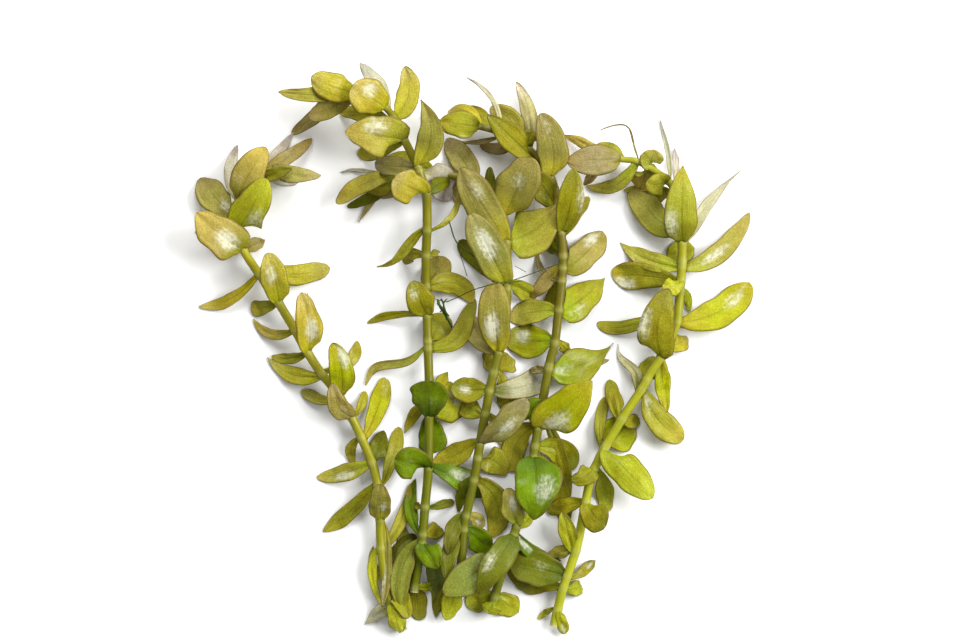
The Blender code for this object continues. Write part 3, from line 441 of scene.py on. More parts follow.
STEM_5 = {
    "route": [
        (554, 626), (558, 608), (562, 592), (567, 577), (572, 562), (576, 550), (580, 532), (587, 495),
        (591, 478), (597, 463), (604, 449), (622, 419), (641, 390), (650, 374), (661, 357), (670, 340),
        (677, 322), (679, 302), (682, 265), (682, 242), (681, 225), (679, 205), (674, 188), (663, 177),
        (650, 168), (636, 161), (620, 159), (603, 156), (588, 152),
    ],
    "heights": [(0, 2.6), (0.1, 4.4), (0.5, 5.2), (0.8, 6.2), (1, 8)],
    "pairs": [
        ((567, 576), [
            blade((510, 562), 35, "side", "dark", wide=0.5, point=0, shine=(0.4, 0.2, 0.4)),
            blade((595, 559), 11, "side", "green", wide=0.6, shine=(0.8, 0.0, 0.8))]),
        ((564, 588), [
            blade((583, 586), 16, "side", "lime", wide=0.6, point=-0.2),
            blade((522, 590), 17, "side", "green", wide=0.6, point=0, bow=2)]),
        ((586, 503), [
            blade((606, 526), 29, "front", "green", wide=0.6, point=0, bow=3),
            blade((548, 512), 16, "side", "green", wide=0.5, point=0)]),
        ((595, 470), [
            blade((605, 512), 18, "side", "lime", wide=0.6, point=0),
            blade((571, 480), 21, "front", "green", wide=0.3, point=0.3, lift=-2, bow=-3)]),
        ((604, 449), [
            blade((653, 498), 32, "front", "lime", lift=-3, wide=0.42, point=0.1, bow=1),
            blade((605, 397), 11, "side", "olive", bow=1, wide=0.7, point=0)]),
        ((622, 419), [
            blade((608, 379), 16, "side", "green", bow=3, wide=0.4, point=0),
            blade((640, 419), 15, "side", "green")]),
        ((641, 390), [
            blade((684, 438), 27, "side", "olive", bow=9, wide=0.66, point=0, shine=(0.12, 0.0, 0.6)),
            blade((618, 344), 11, "side", "silver", sway=4, wide=0.2, point=1.6, bow=3)]),
        ((661, 357), [
            blade((670, 289), 36, "front", "green", bow=-7, wide=0.32, point=0.1, shine=(0.5, -0.8, 0.8)),
            blade((667, 412), 16, "back", "lemon", wide=0.5, bow=2)]),
        ((678, 322), [
            blade((749, 283), 31, "side", "lemon", bow=6, wide=0.56, point=0, shine=(0.75, -0.1, 0.7)),
            blade((595, 323), 14, "side", "olive", sway=3, wide=0.7, point=0, bow=-4)]),
        ((681, 281), [
            blade((610, 276), 26, "side", "olive", bow=2, wide=0.68, point=0, shine=(0.8, -0.6, 0.9)),
            blade((665, 294), 20, "front", "lime", lift=-4, point=0)]),
        ((682, 242), [
            blade((685, 165), 34, "front", "olive", wide=0.36, point=0.8, bow=-3, shine=(0.3, -0.6, 0.7)),
            blade((740, 171), 12, "side", "pale", wide=0.35, point=3.5, bow=-11)]),
    ],
    "fused": [
        ((673, 187), [blade((674, 148), 7, "side", "pale", bow=-1)]),
        ((559, 610), [
            blade((538, 619), 6, "side", "lime"),
            blade((564, 634), 12, "front", "lime", lift=-8, wide=0.7, point=0, shine=(0.8, 0.0, 0.8))]),
        ((576, 551), [
            blade((562, 512), 18, "side", "lime", bow=3),
            blade((548, 557), 13, "side", "straw")]),
        ((612, 448), [blade((627, 418), 36, "back", "lemon", wide=0.5, point=0, bow=3)]),
        ((647, 380), [blade((654, 356), 22, "back", "lime", lift=-2)]),
        ((668, 344), [blade((686, 337), 18, "side", "yellow")]),
        ((680, 290), [blade((688, 311), 9, "side", "lime")]),
        ((682, 267), [
            blade((749, 213), 20, "side", "straw", sway=1, bow=5, wide=0.4, shine=(0.35, 0.0, 0.8)),
            blade((620, 241), 20, "side", "straw", bow=-4, wide=0.35, point=1.2)]),
        ((682, 262), [blade((680, 240), 28, "back", "lime", wide=0.5, point=0)]),
        ((681, 228), [blade((628, 192), 31, "side", "straw", sway=-3, point=0)]),
        ((676, 195), [blade((623, 190), 17, "back", "olive")]),
        ((668, 181), [
            blade((646, 186), 22, "front", "olive", lift=-4, point=0),
            blade((658, 119), 5, "side", "pale", bow=-1)]),
        ((648, 167), [
            blade((640, 191), 28, "back", "gold"),
            blade((654, 150), 23, "front", "straw", lift=-5, point=0)]),
        ((637, 161), [
            blade((600, 131), 1.5, "side", "brown", bow=13, sway=-5),
            blade((587, 186), 14, "side", "straw", bow=-8)]),
        ((620, 159), [
            blade((567, 161), 29, "front", "brown", lift=-5, wide=0.5, point=0),
            blade((596, 147), 15, "side", "olive", point=0)]),
        ((603, 156), [
            blade((563, 135), 11, "side", "gold", bow=-3),
            blade((584, 185), 10, "side", "brown")]),
    ],
}

STEMS = (STEM_1, STEM_2, STEM_3, STEM_4, STEM_5)

# Threads of algae caught between the stems, as plan points with their heights in mm
THREADS = [
    (0.20, [(449, 221, 10.5), (451, 227, 8), (453, 236, 5), (458, 246, 4), (468, 252, 5), (479, 260, 8)]),
    (0.11, [(458, 247, 4), (462, 260, 3), (467, 276, 3)]),
    (0.16, [(446, 302, 6), (455, 299, 6), (469, 291, 9), (482, 287, 13), (497, 283, 14), (511, 281, 12),
            (523, 277, 9), (541, 270, 7), (562, 263, 9)]),
    (0.16, [(509, 283, 11), (516, 281, 10), (523, 281, 9)]),
    (0.10, [(515, 266, 5), (526, 272, 4)]),
    (0.12, [(429, 297, 6), (438, 300, 6), (447, 302, 6)]),
    (0.42, [(438, 300, 6), (439, 306, 6), (444, 312, 6), (447, 318, 5), (452, 327, 3)]),
    (0.34, [(437, 303, 7), (442, 307, 7), (446, 312, 6), (447, 320, 5)]),
    (0.30, [(441, 299, 6), (445, 304, 7), (443, 311, 7), (449, 316, 6)]),
    (0.22, [(447, 299, 7), (441, 303, 7), (446, 308, 7), (440, 312, 6)]),
]


def place(point, z):
    """The point in space that lies over a plan point for an eye high above the plan's centre."""
    shrink = 1 - z / EYE_HEIGHT
    x = EYE_OVER[0] + (point[0] - PLAN_CENTRE[0]) * PLAN_UNIT * shrink
    y = EYE_OVER[1] - (point[1] - PLAN_CENTRE[1]) * PLAN_UNIT * shrink
    return Vector((x, y, z))


def on_plan(point):
    """The plan point under which a point in space is seen."""
    shrink = 1 - point.z / EYE_HEIGHT
    u = PLAN_CENTRE[0] + (point.x - EYE_OVER[0]) / (PLAN_UNIT * shrink)
    v = PLAN_CENTRE[1] - (point.y - EYE_OVER[1]) / (PLAN_UNIT * shrink)
    return u, v


def smooth(x):
    x = max(0.0, min(1.0, x))
    return x * x * (3 - 2 * x)


def height_at(stem, fraction):
    """How high the stem's axis runs, eased between the heights that the stem states."""
    heights = stem["heights"]
    for (start, low), (end, high) in zip(heights, heights[1:]):
        if fraction <= end:
            return (low + (high - low) * smooth((fraction - start) / (end - start))) * MM
    return heights[-1][1] * MM


def radius_at(fraction):
    thin = max(0.0, (fraction - TAPER_FROM) / (1 - TAPER_FROM))
    return STEM_RADIUS + (TIP_RADIUS - STEM_RADIUS) * thin


def axis_of(stem):
    """The stem's axis as (fraction of its length, point in space) along its route."""
    route = [Vector(point) for point in stem["route"]]
    reached = [0.0]
    for before, after in zip(route, route[1:]):
        reached.append(reached[-1] + (after - before).length)
    fractions = [length / reached[-1] for length in reached]
    return [(f, place(point, height_at(stem, f))) for f, point in zip(fractions, stem["route"])]


def node_on(stem, point):
    """Where on the stem a plan point lies: fraction, point in space and direction of growth."""
    axis = axis_of(stem)
    wanted = Vector(point)
    nearest = None
    for index, (start, end) in enumerate(zip(stem["route"], stem["route"][1:])):
        run = Vector(end) - Vector(start)
        x = max(0.0, min(1.0, (wanted - Vector(start)).dot(run) / run.length_squared))
        away = (Vector(start) + run * x - wanted).length
        if nearest is None or away < nearest[0]:
            nearest = (away, index, x)
    _, index, x = nearest
    (first, low), (second, high) = axis[index], axis[index + 1]
    return first + (second - first) * x, low.lerp(high, x), (high - low).normalized()


def outline(s, leaf):
    """A leaf's half width along its midrib, as a share of the widest.

    A leaf that is widest far out has a narrow base.
    """
    if s < leaf.wide:
        narrow = BASE_WIDTH * (1 + WIDE_BASE_AT - leaf.wide)
        return narrow + (1 - narrow) * math.sin(math.pi / 2 * s / leaf.wide)
    x = (s - leaf.wide) / (1 - leaf.wide)
    return (1 - x * x) ** (ROUND_TIP * (1 + leaf.point))


def out_of_stem(node, leaf):
    """The direction in which a leaf leaves the stem, and the direction across its base."""
    _, centre, growth = node
    over = (UP - growth * UP.dot(growth)).normalized()
    right = growth.cross(over)
    toward = place(leaf.tip, centre.z) - centre
    lean = toward.dot(right) / max(toward.length, MM)
    sign = math.copysign(1.0, lean)
    if leaf.face == "side":
        return (right * sign + over * SIDE_RISE).normalized(), growth * -sign
    forward = math.copysign(1.0, toward.dot(growth))
    if leaf.face == "front":
        return (over + right * LEAN * lean).normalized(), right * forward
    return (right * LEAN * lean - over).normalized(), right * forward


def midrib(leaf, angle, root, tip, s):
    """The midrib's point there, and the directions across and out of the leaf, both turned by the angle."""
    base, out, across_base = root
    chord = tip - base
    flat = Vector((chord.x, chord.y, 0)).normalized()
    across = Vector((flat.y, -flat.x, 0))
    bend = base + chord * ALONG + out * OUTWARD[leaf.face] * chord.length
    bend += across * 2 * leaf.bow * PLAN_UNIT
    sway = leaf.sway * PLAN_UNIT
    centre = base * (1 - s) ** 2 + bend * 2 * s * (1 - s) + tip * s * s
    centre += across * sway * math.sin(math.tau * s)
    run = (bend - base) * (1 - s) + (tip - bend) * s + across * sway * math.pi * math.cos(math.tau * s)
    run.normalize()
    side = run.cross(UP).normalized()
    if s < CLASP_ENDS:
        x = s / CLASP_ENDS
        side = across_base.lerp(side, smooth(x)).normalized()
        side = (side - run * side.dot(run) * x).normalized()
    turn = Matrix.Rotation(angle, 3, run)
    return centre, turn @ side, turn @ side.cross(run).normalized()


def tip_in_frame(node_name, leaf, stem_height):
    """The leaf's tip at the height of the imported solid's corner that is seen nearest the plan point."""
    start = max(LOWEST_TIP, stem_height + TIP_OVER_STEM[leaf.face] + leaf.lift * MM)
    nearest = (TIP_REACH, start)
    for vertex in frame["nodes"][node_name].data.vertices:
        u, v = on_plan(vertex.co)
        away = math.hypot(u - leaf.tip[0], v - leaf.tip[1])
        if away < nearest[0]:
            nearest = (away, vertex.co.z)
    height = nearest[1]
    if height < 0.01 * MM:
        height = min(start, 0)
    return place(leaf.tip, height)


def deselect():
    bpy.ops.object.select_all(action="DESELECT")


def choose(*objects):
    """Selects these objects alone, the first of them as the active one."""
    deselect()
    for obj in objects:
        obj.select_set(True)
    bpy.context.view_layer.objects.active = objects[0]


def apply_modifiers(obj):
    choose(obj)
    for modifier in list(obj.modifiers):
        bpy.ops.object.modifier_apply(modifier=modifier.name)


def close_up(obj, distance, with_ends=False):
    """Merges the mesh's doubles, closes its open ends where asked, and points its faces outwards."""
    choose(obj)
    bpy.ops.object.mode_set(mode="EDIT")
    bpy.ops.mesh.select_all(action="SELECT")
    bpy.ops.mesh.remove_doubles(threshold=distance)
    if with_ends:
        bpy.ops.mesh.select_all(action="DESELECT")
        bpy.ops.mesh.select_non_manifold()
        bpy.ops.mesh.edge_face_add()
        bpy.ops.mesh.select_all(action="SELECT")
    bpy.ops.mesh.normals_make_consistent(inside=False)
    bpy.ops.object.mode_set(mode="OBJECT")


def joined(name, objects):
    """The objects as one, under that name."""
    choose(*objects)
    if len(objects) > 1:
        bpy.ops.object.join()
    obj = bpy.context.view_layer.objects.active
    obj.name = obj.data.name = name
    return obj


def keep_piece(obj, slot, *nodes):
    """Hands a finished piece to the frame: it rides on the bunch and stands for these solids."""
    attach(obj, "root")
    if nodes:
        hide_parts(*nodes)


def slot_of(node_name):
    for row in frame["record"]["subparts"]:
        if row["node"] == node_name:
            return row["material_slot"]
    raise RuntimeError(f"the record has no slot for {node_name}")


def mixed(first, second, share):
    return [a + (b - a) * share for a, b in zip(first, second)]


class Graph:
    """A node tree with short calls to add and link its nodes."""

    def __init__(self, tree):
        self.tree = tree
        tree.nodes.clear()

    def node(self, kind, values=None, **settings):
        made = self.tree.nodes.new(kind)
        for name, value in settings.items():
            setattr(made, name, value)
        for name, value in (values or {}).items():
            self.put(value, made.inputs[name])
        return made

    def put(self, value, socket):
        """Links another node's output to the socket, or sets a plain value."""
        if isinstance(value, bpy.types.NodeSocket):
            self.tree.links.new(value, socket)
        else:
            socket.default_value = value

    def math(self, operation, first, second=0.0, third=0.0):
        return self.node("ShaderNodeMath", {0: first, 1: second, 2: third}, operation=operation).outputs[0]

    def ramp(self, value, low, high, to_low=0.0, to_high=1.0):
        made = self.node("ShaderNodeMapRange", {
            "Value": value, "From Min": low, "From Max": high, "To Min": to_low, "To Max": to_high,
        }, interpolation_type="SMOOTHSTEP")
        return made.outputs[0]

    def mix(self, share, first, second, blend="MIX"):
        made = self.node("ShaderNodeMix", data_type="RGBA", blend_type=blend)
        sockets = {"Factor": share, "A": first, "B": second}
        for socket in made.inputs:
            if socket.name in sockets and (socket.type == "RGBA" or socket.identifier == "Factor_Float"):
                self.put(sockets[socket.name], socket)
        return [socket for socket in made.outputs if socket.type == "RGBA"][0]

    def tint(self, tone, share, color):
        """The tone, multiplied by the color for that share."""
        return self.mix(share, tone, (*color, 1), "MULTIPLY")

    def noise(self, where, scale, detail=2.0, roughness=0.5):
        made = self.node("ShaderNodeTexNoise", {
            "Vector": where, "Scale": scale, "Detail": detail, "Roughness": roughness,
        })
        return made.outputs["Fac"]


def new_tissue(name, inputs):
    """An empty group for a tissue, with its graph, what it is given, and its two kinds of coordinates.

    The inputs are names with default values, colours as four numbers.
    """
    group = bpy.data.node_groups.new(name, "ShaderNodeTree")
    for socket, default in inputs.items():
        kind = "NodeSocketColor" if isinstance(default, tuple) else "NodeSocketFloat"
        made = group.interface.new_socket(name=socket, in_out="INPUT", socket_type=kind)
        made.default_value = default
    for socket in ("Color", "Roughness", "Height", "Wet"):
        kind = "NodeSocketColor" if socket == "Color" else "NodeSocketFloat"
        group.interface.new_socket(name=socket, in_out="OUTPUT", socket_type=kind)
    graph = Graph(group)
    given = graph.node("NodeGroupInput").outputs
    where = graph.node("ShaderNodeTexCoord").outputs["Object"]
    uv = graph.node("ShaderNodeUVMap", uv_map="UVMap").outputs["UV"]
    return group, graph, given, where, uv


def leaf_tissue():
    """Mottling, veins, margin and bumps of a leaf blade, and a whitish painted highlight, over the tone that
    the leaf carries.
    """
    group, graph, given, where, uv = new_tissue("leaf tissue", {
        "Tone": (0.5, 0.5, 0.1, 1), "Margin": (0.1, 0.07, 0.02, 1), "Mottle": 0.5, "Veins": 0.5, "Painted highlight": 0.0,
    })
    split = graph.node("ShaderNodeSeparateXYZ", {"Vector": uv}).outputs
    across = graph.math("MULTIPLY_ADD", split["X"], 2.0, -1.0)
    away = graph.math("ABSOLUTE", across)
    along = split["Y"]

    ribs = graph.math("COSINE", graph.math("MULTIPLY", across, math.tau * 2.5))
    ribs = graph.math("POWER", graph.math("MULTIPLY_ADD", ribs, 0.5, 0.5), 10.0)
    middle = graph.ramp(away, 0.03, 0.10, 1.0, 0.0)
    middle = graph.math("MULTIPLY", middle, graph.ramp(along, 0.35, 0.8, 1.0, 0.15))
    cells = graph.node("ShaderNodeTexVoronoi", {"Vector": where, "Scale": 1200.0}, feature="DISTANCE_TO_EDGE")
    net = graph.ramp(cells.outputs["Distance"], 0.02, 0.2, 1.0, 0.0)
    blotch = graph.noise(where, 260.0, 3.0, 0.6)
    grain = graph.noise(where, 2600.0, 2.0, 0.6)
    patch = graph.noise(where, 800.0, 2.0, 0.5)
    streaks = graph.node("ShaderNodeMapping", {"Vector": uv, "Scale": (18.0, 3.0, 1.0)}).outputs[0]
    streak = graph.noise(streaks, 1.0, 3.0, 0.55)

    mottled = graph.math("MULTIPLY", graph.ramp(blotch, 0.42, 0.72), given["Mottle"])
    tone = graph.tint(given["Tone"], mottled, (0.74, 0.62, 0.50))
    tone = graph.tint(tone, graph.ramp(streak, 0.35, 0.75, 0.0, 0.45), (1.22, 1.20, 1.30))
    netted = graph.math("MULTIPLY", graph.math("MULTIPLY", net, 0.55), given["Mottle"])
    tone = graph.tint(tone, netted, (0.55, 0.52, 0.35))
    veined = graph.math("MULTIPLY", graph.math("MULTIPLY", ribs, given["Veins"]), 0.2)
    tone = graph.tint(tone, veined, (1.25, 1.22, 1.2))
    tone = graph.tint(tone, graph.math("MULTIPLY", middle, 0.45), (0.55, 0.62, 0.30))
    tone = graph.tint(tone, graph.ramp(grain, 0.36, 0.64, 0.0, 0.6), (0.66, 0.66, 0.50))
    tone = graph.tint(tone, graph.ramp(patch, 0.42, 0.62, 0.0, 0.5), (1.2, 1.2, 1.5))
    rim = graph.math("MAXIMUM", graph.ramp(away, 0.88, 0.985), graph.ramp(along, 0.96, 0.995))
    tone = graph.mix(graph.math("MULTIPLY", rim, 0.8), tone, given["Margin"])
    # Painted highlight: a whitish patch mixed into the colour where the mesh carries one, torn by the patches
    # and streaks
    torn_highlight = graph.ramp(patch, 0.35, 0.65, -0.15, 0.25)
    torn_highlight = graph.math("ADD", graph.ramp(streak, 0.3, 0.65, 0.6, 1.0), torn_highlight)
    painted_highlight_mask = graph.ramp(graph.math("MULTIPLY", given["Painted highlight"], torn_highlight), 0.2, 0.85)
    color = graph.mix(graph.math("MULTIPLY", painted_highlight_mask, 0.78), tone, (*PAINTED_HIGHLIGHT_COLOR, 1))

    rough = graph.ramp(streak, 0.3, 0.75, 0.26, 0.5)
    height = graph.math("MULTIPLY_ADD", ribs, 0.2, graph.math("MULTIPLY", streak, 0.6))
    height = graph.math("ADD", height, graph.math("MULTIPLY", net, -0.35))
    height = graph.math("ADD", height, graph.math("MULTIPLY", middle, -0.9))
    height = graph.math("ADD", height, graph.math("MULTIPLY", grain, 0.35))
    wet = graph.ramp(graph.noise(where, 90.0, 2.0, 0.5), 0.50, 0.66, 0.0, 0.35)
    graph.node("NodeGroupOutput", {"Color": color, "Roughness": rough, "Height": height, "Wet": wet})
    return group


def stem_tissue():
    """Lengthwise ridges, flecks and bumps of a stem, and painted shade along its flanks, over the tone that
    it carries.
    """
    group, graph, given, where, uv = new_tissue("stem tissue", {"Tone": (0.4, 0.38, 0.08, 1), "Ridges": 0.5})
    lines = graph.node("ShaderNodeMapping", {"Vector": uv, "Scale": (22.0, 30.0, 1.0)}).outputs[0]
    ridge = graph.noise(lines, 1.0, 3.0, 0.6)
    around = graph.node("ShaderNodeSeparateXYZ", {"Vector": uv}).outputs["X"]
    off_top_for_painted_shade = graph.math("ABSOLUTE", graph.math("SUBTRACT", around, 0.5))
    fleck = graph.noise(where, 1500.0, 2.0, 0.6)
    blotch = graph.noise(where, 220.0, 2.0, 0.5)
    ridged = graph.math("MULTIPLY", graph.ramp(ridge, 0.35, 0.7), given["Ridges"])
    tone = graph.tint(given["Tone"], ridged, (0.62, 0.62, 0.40))
    tone = graph.tint(tone, graph.ramp(blotch, 0.45, 0.7, 0.0, 0.5), (0.72, 0.78, 0.5))
    # Painted shade: the stem darker towards its flanks, away from the top line that faces up
    tone = graph.tint(tone, graph.ramp(off_top_for_painted_shade, 0.13, 0.24, 0.0, 0.75), (0.50, 0.44, 0.40))
    color = graph.tint(tone, graph.ramp(fleck, 0.55, 0.75, 0.0, 0.4), (1.3, 1.28, 1.35))
    rough = graph.ramp(ridge, 0.3, 0.8, 0.3, 0.5)
    height = graph.math("MULTIPLY_ADD", fleck, 0.25, ridge)
    wet = graph.ramp(blotch, 0.45, 0.6, 0.0, 0.3)
    graph.node("NodeGroupOutput", {"Color": color, "Roughness": rough, "Height": height, "Wet": wet})
    return group


def new_finish(name):
    """A new material, and the graph of its nodes."""
    material = bpy.data.materials.new(name)
    material.use_nodes = True
    return material, Graph(material.node_tree)


def tissue_in(graph, tissue, values):
    """What the tissue group puts out in a material, over the tone and the painted highlight that the mesh
    carries.
    """
    made = graph.node("ShaderNodeGroup", values, node_tree=tissue)
    for attribute, socket, output in (("tone", "Tone", "Vector"), ("painted_highlight_mask", "Painted highlight", "Fac")):
        if socket in made.inputs:
            layer = graph.node("ShaderNodeAttribute", attribute_name=attribute)
            graph.put(layer.outputs[output], made.inputs[socket])
    return made.outputs


def plant_finish(name, tissue, values, bump, see_through):
    """A wet plant finish: the tissue group under a glossy skin, partly lit through from behind."""
    material, graph = new_finish(name)
    made = tissue_in(graph, tissue, values)
    bumps = graph.node("ShaderNodeBump", {"Height": made["Height"], "Distance": bump, "Strength": 0.7})
    bumps = bumps.outputs[0]
    skin = graph.node("ShaderNodeBsdfPrincipled", {
        "Base Color": made["Color"], "Roughness": made["Roughness"], "Normal": bumps,
        "Specular IOR Level": 0.15, "Coat Weight": made["Wet"], "Coat Roughness": 0.2,
    })
    glow = graph.node("ShaderNodeBsdfTranslucent", {"Color": made["Color"], "Normal": bumps})
    both = graph.node("ShaderNodeMixShader", {0: see_through, 1: skin.outputs[0], 2: glow.outputs[0]})
    graph.node("ShaderNodeOutputMaterial", {"Surface": both.outputs[0]})
    return material


def pale_finish(name, tissue, values):
    """The thin, nearly clear finish of a pale leaf."""
    material, graph = new_finish(name)
    made = tissue_in(graph, tissue, values)
    skin = graph.node("ShaderNodeBsdfPrincipled", {
        "Base Color": made["Color"], "Roughness": made["Roughness"], "Alpha": 0.9, "Specular IOR Level": 0.3,
    })
    graph.node("ShaderNodeOutputMaterial", {"Surface": skin.outputs[0]})
    return material


def even_finish(name, color, roughness, specular):
    """A finish without a pattern."""
    material, graph = new_finish(name)
    skin = graph.node("ShaderNodeBsdfPrincipled", {
        "Base Color": (*color, 1), "Roughness": roughness, "Specular IOR Level": specular,
    })
    graph.node("ShaderNodeOutputMaterial", {"Surface": skin.outputs[0]})
    return material


def leaf_blank(across, along):
    """A flat strip from which every leaf is shaped: x is -1 to 1 across it, and y is 0 to 1 along it."""
    deselect()
    bpy.ops.mesh.primitive_grid_add(x_subdivisions=across, y_subdivisions=along, size=2, calc_uvs=True)
    blank = bpy.context.object
    blank.name = "leaf_blank"
    for vertex in blank.data.vertices:
        vertex.co.y = (vertex.co.y + 1) / 2
    return blank


def leaf_tone(leaf, chance, s, t):
    """The leaf's own colour at a place on its blade, before mottling."""
    base, body, tip = TONES[leaf.tone]
    color = mixed(mixed(base, body, smooth(s / 0.45)), tip, smooth((s - 0.55) / 0.45) * 0.9)
    color = mixed(color, body, 0.35 * t * t * (1 - smooth((s - 0.5) / 0.5)))
    return [*(max(0.0, value * light) for value, light in zip(color, chance)), 1]


def painted_highlight_at(leaf, s, t):
    """How strongly a highlight is painted at a place on the blade, from 0 to 1."""
    if not leaf.shine:
        return 0.0
    along, across, thick = leaf.shine
    return thick * math.exp(-((s - along) / PAINTED_HIGHLIGHT_LENGTH) ** 2 - ((t - across) / PAINTED_HIGHLIGHT_WIDTH) ** 2)


def landed(height, rest):
    """The height, eased so that nothing lies lower than rest."""
    over = (height - rest) / SOFT_LANDING
    return height if over > 20 else rest + SOFT_LANDING * math.log1p(math.exp(over))


def shape_leaf(blank, name, leaf, root, tip, settings):
    """A copy of the blank, laid along the leaf's midrib, domed or cupped across, and wavy at its edge."""
    obj = blank.copy()
    obj.data = blank.data.copy()
    obj.name = obj.data.name = name
    bpy.context.scene.collection.objects.link(obj)
    rng = random.Random(f"{leaf.tip} {leaf.width}")
    light = rng.uniform(0.9, 1.1)
    chance = (light * rng.uniform(0.94, 1.05), light, light * rng.uniform(0.8, 1.25))
    wave, phase = settings.ripple * rng.uniform(0.4, 1.2), rng.uniform(0, 50)
    dome = {"front": -1.0, "side": rng.choice((-0.7, 0.5, 0.8)), "back": 0.6}[leaf.face] * settings.dome
    curl = settings.curl * rng.uniform(-0.4, 1.0)
    fold = settings.fold * rng.uniform(-0.4, 1.0)
    lean = settings.lean * rng.uniform(-1, 1)
    tip_turn = settings.tip_turn * rng.uniform(-1, 1)
    rest = settings.thickness * 0.6 + rng.uniform(0, 1) * REST_SPREAD
    mesh = obj.data
    # Each point carries its tone and how strongly a whitish highlight is painted there
    mesh.attributes.new("tone", "FLOAT_COLOR", "POINT")
    mesh.attributes.new("painted_highlight_mask", "FLOAT", "POINT")
    tones, painted_highlight_masks = mesh.attributes["tone"].data, mesh.attributes["painted_highlight_mask"].data
    rows = {}
    length = (tip - root[0]).length
    for index, vertex in enumerate(mesh.vertices):
        t, y = vertex.co.x, vertex.co.y
        if y not in rows:
            s = 0.45 * y + 0.55 * math.sin(math.pi / 2 * y)
            angle = math.radians(lean + tip_turn * s)
            half = max(leaf.width * PLAN_UNIT / 2 * outline(s, leaf) / max(0.4, math.cos(angle)), LEAST_HALF)
            if half > MOST_CLASP:
                half = MOST_CLASP + (half - MOST_CLASP) * smooth((s + 0.04) / 0.16)
            rows[y] = (s, half, *midrib(leaf, angle, root, tip, s))
        s, half, centre, side, normal = rows[y]
        ripple = noise.noise(Vector((s * 5.0, t * 1.5, phase))) * wave * t * t
        lump = noise.noise(Vector((s * 3.0, t * 2.0, phase + 9))) * settings.lump
        rise = half * (dome * (t * t - 0.3) + fold * (abs(t) - 0.5)) + ripple + lump * min(1, half / (2 * MM))
        rise -= curl * length * smooth((s - 0.6) / 0.4) ** 2
        uneven = noise.noise(Vector((s * 3.5, math.copysign(3.0, t), phase)))
        ragged = 1 + settings.uneven_edge * uneven * abs(t)
        vertex.co = centre + side * half * t * ragged + normal * rise
        vertex.co.z = landed(vertex.co.z, rest)
        tones[index].color = leaf_tone(leaf, chance, s, t)
        painted_highlight_masks[index].value = painted_highlight_at(leaf, s, t)
    return obj


def finish_leaves(obj, settings, material):
    """Gives the joined blades their thickness, smooth shading and material."""
    solid = obj.modifiers.new("thickness", "SOLIDIFY")
    solid.thickness = settings.thickness
    solid.offset = 0
    solid.use_even_offset = False
    apply_modifiers(obj)
    bpy.ops.object.shade_smooth()
    obj.data.materials.clear()
    obj.data.materials.append(material)


def blades_of(blank, stem_number, name, nodes, settings, pale):
    """Every leaf of one solid, each a shaped copy of the blank. The pale ones go to their own list."""
    made = []
    stem = STEMS[stem_number - 1]
    for spot, leaves in nodes:
        node = node_on(stem, spot)
        for leaf in leaves:
            out, across_base = out_of_stem(node, leaf)
            root = (node[1] + out * radius_at(node[0]) * ROOT_DEPTH, out, across_base)
            tip = tip_in_frame(name, leaf, node[1].z)
            shaped = shape_leaf(blank, f"blade_{leaf.tip[0]}_{leaf.tip[1]}", leaf, root, tip, settings)
            (pale if leaf.tone == "pale" else made).append(shaped)
    return made


class BacopaLeafSettings(bpy.types.PropertyGroup):
    """Sizes that every leaf shares."""

    thickness: FloatProperty(
        name="Thickness", description="Thickness of a leaf blade", default=0.32 * MM, unit="LENGTH",
        precision=5)
    dome: FloatProperty(
        name="Dome", description="How far a blade bulges or cups across, as a share of its half width",
        default=0.07)
    fold: FloatProperty(
        name="Fold", description="How deep a blade is creased along its midrib, as a share of its half width",
        default=0.22)
    lean: FloatProperty(
        name="Lean", description="How far a blade may be turned about its midrib, in degrees", default=9)
    tip_turn: FloatProperty(
        name="Tip turn", description="How much further a blade's tip may be turned, in degrees", default=16)
    uneven_edge: FloatProperty(
        name="Uneven edge", description="How uneven a blade's outline is, as a share of its half width",
        default=0.2)
    ripple: FloatProperty(
        name="Ripple", description="Height of the waves at a blade's edge", default=0.8 * MM, unit="LENGTH",
        precision=5)
    lump: FloatProperty(
        name="Unevenness", description="Height of the soft dents in a blade", default=0.5 * MM, unit="LENGTH",
        precision=5)
    curl: FloatProperty(
        name="Tip curl", description="How far a tip bends back, as a share of the leaf's length",
        default=0.07)
    see_through: FloatProperty(
        name="Light let through", description="Share of the light that passes through a blade", default=0.34,
        subtype="FACTOR", min=0, max=1)
    margin: FloatVectorProperty(
        name="Margin", description="Colour of a blade's thin dark edge", default=(0.20, 0.13, 0.03),
        subtype="COLOR")
    pale_margin: FloatVectorProperty(
        name="Pale margin", description="Colour of a pale blade's edge", default=(0.25, 0.17, 0.10),
        subtype="COLOR")
    across: IntProperty(name="Cells across", description="Faces across a blade", default=12, min=4)
    along: IntProperty(name="Cells along", description="Faces along a blade", default=26, min=8)


class BacopaStemSettings(bpy.types.PropertyGroup):
    """Sizes and colours of the stems and of the threads of algae."""

    sides: IntProperty(name="Sides", description="Faces round a stem", default=16, min=6)
    ring_gap: FloatProperty(
        name="Ring gap", description="Distance between the rings of faces along a stem", default=0.9 * MM,
        unit="LENGTH", precision=5)
    swelling: FloatProperty(
        name="Swelling", description="How much a stem thickens where leaves grow, as a share of its radius",
        default=0.1)
    ring_color: FloatVectorProperty(
        name="Ring colour", description="Colour of the pale ring where leaves grow",
        default=(0.46, 0.46, 0.13), subtype="COLOR")
    cut_color: FloatVectorProperty(
        name="Cut colour", description="Colour of the pale cut end", default=(0.62, 0.60, 0.30),
        subtype="COLOR")
    thread_color: FloatVectorProperty(
        name="Algae", description="Colour of the threads of algae", default=(0.035, 0.065, 0.008),
        subtype="COLOR")


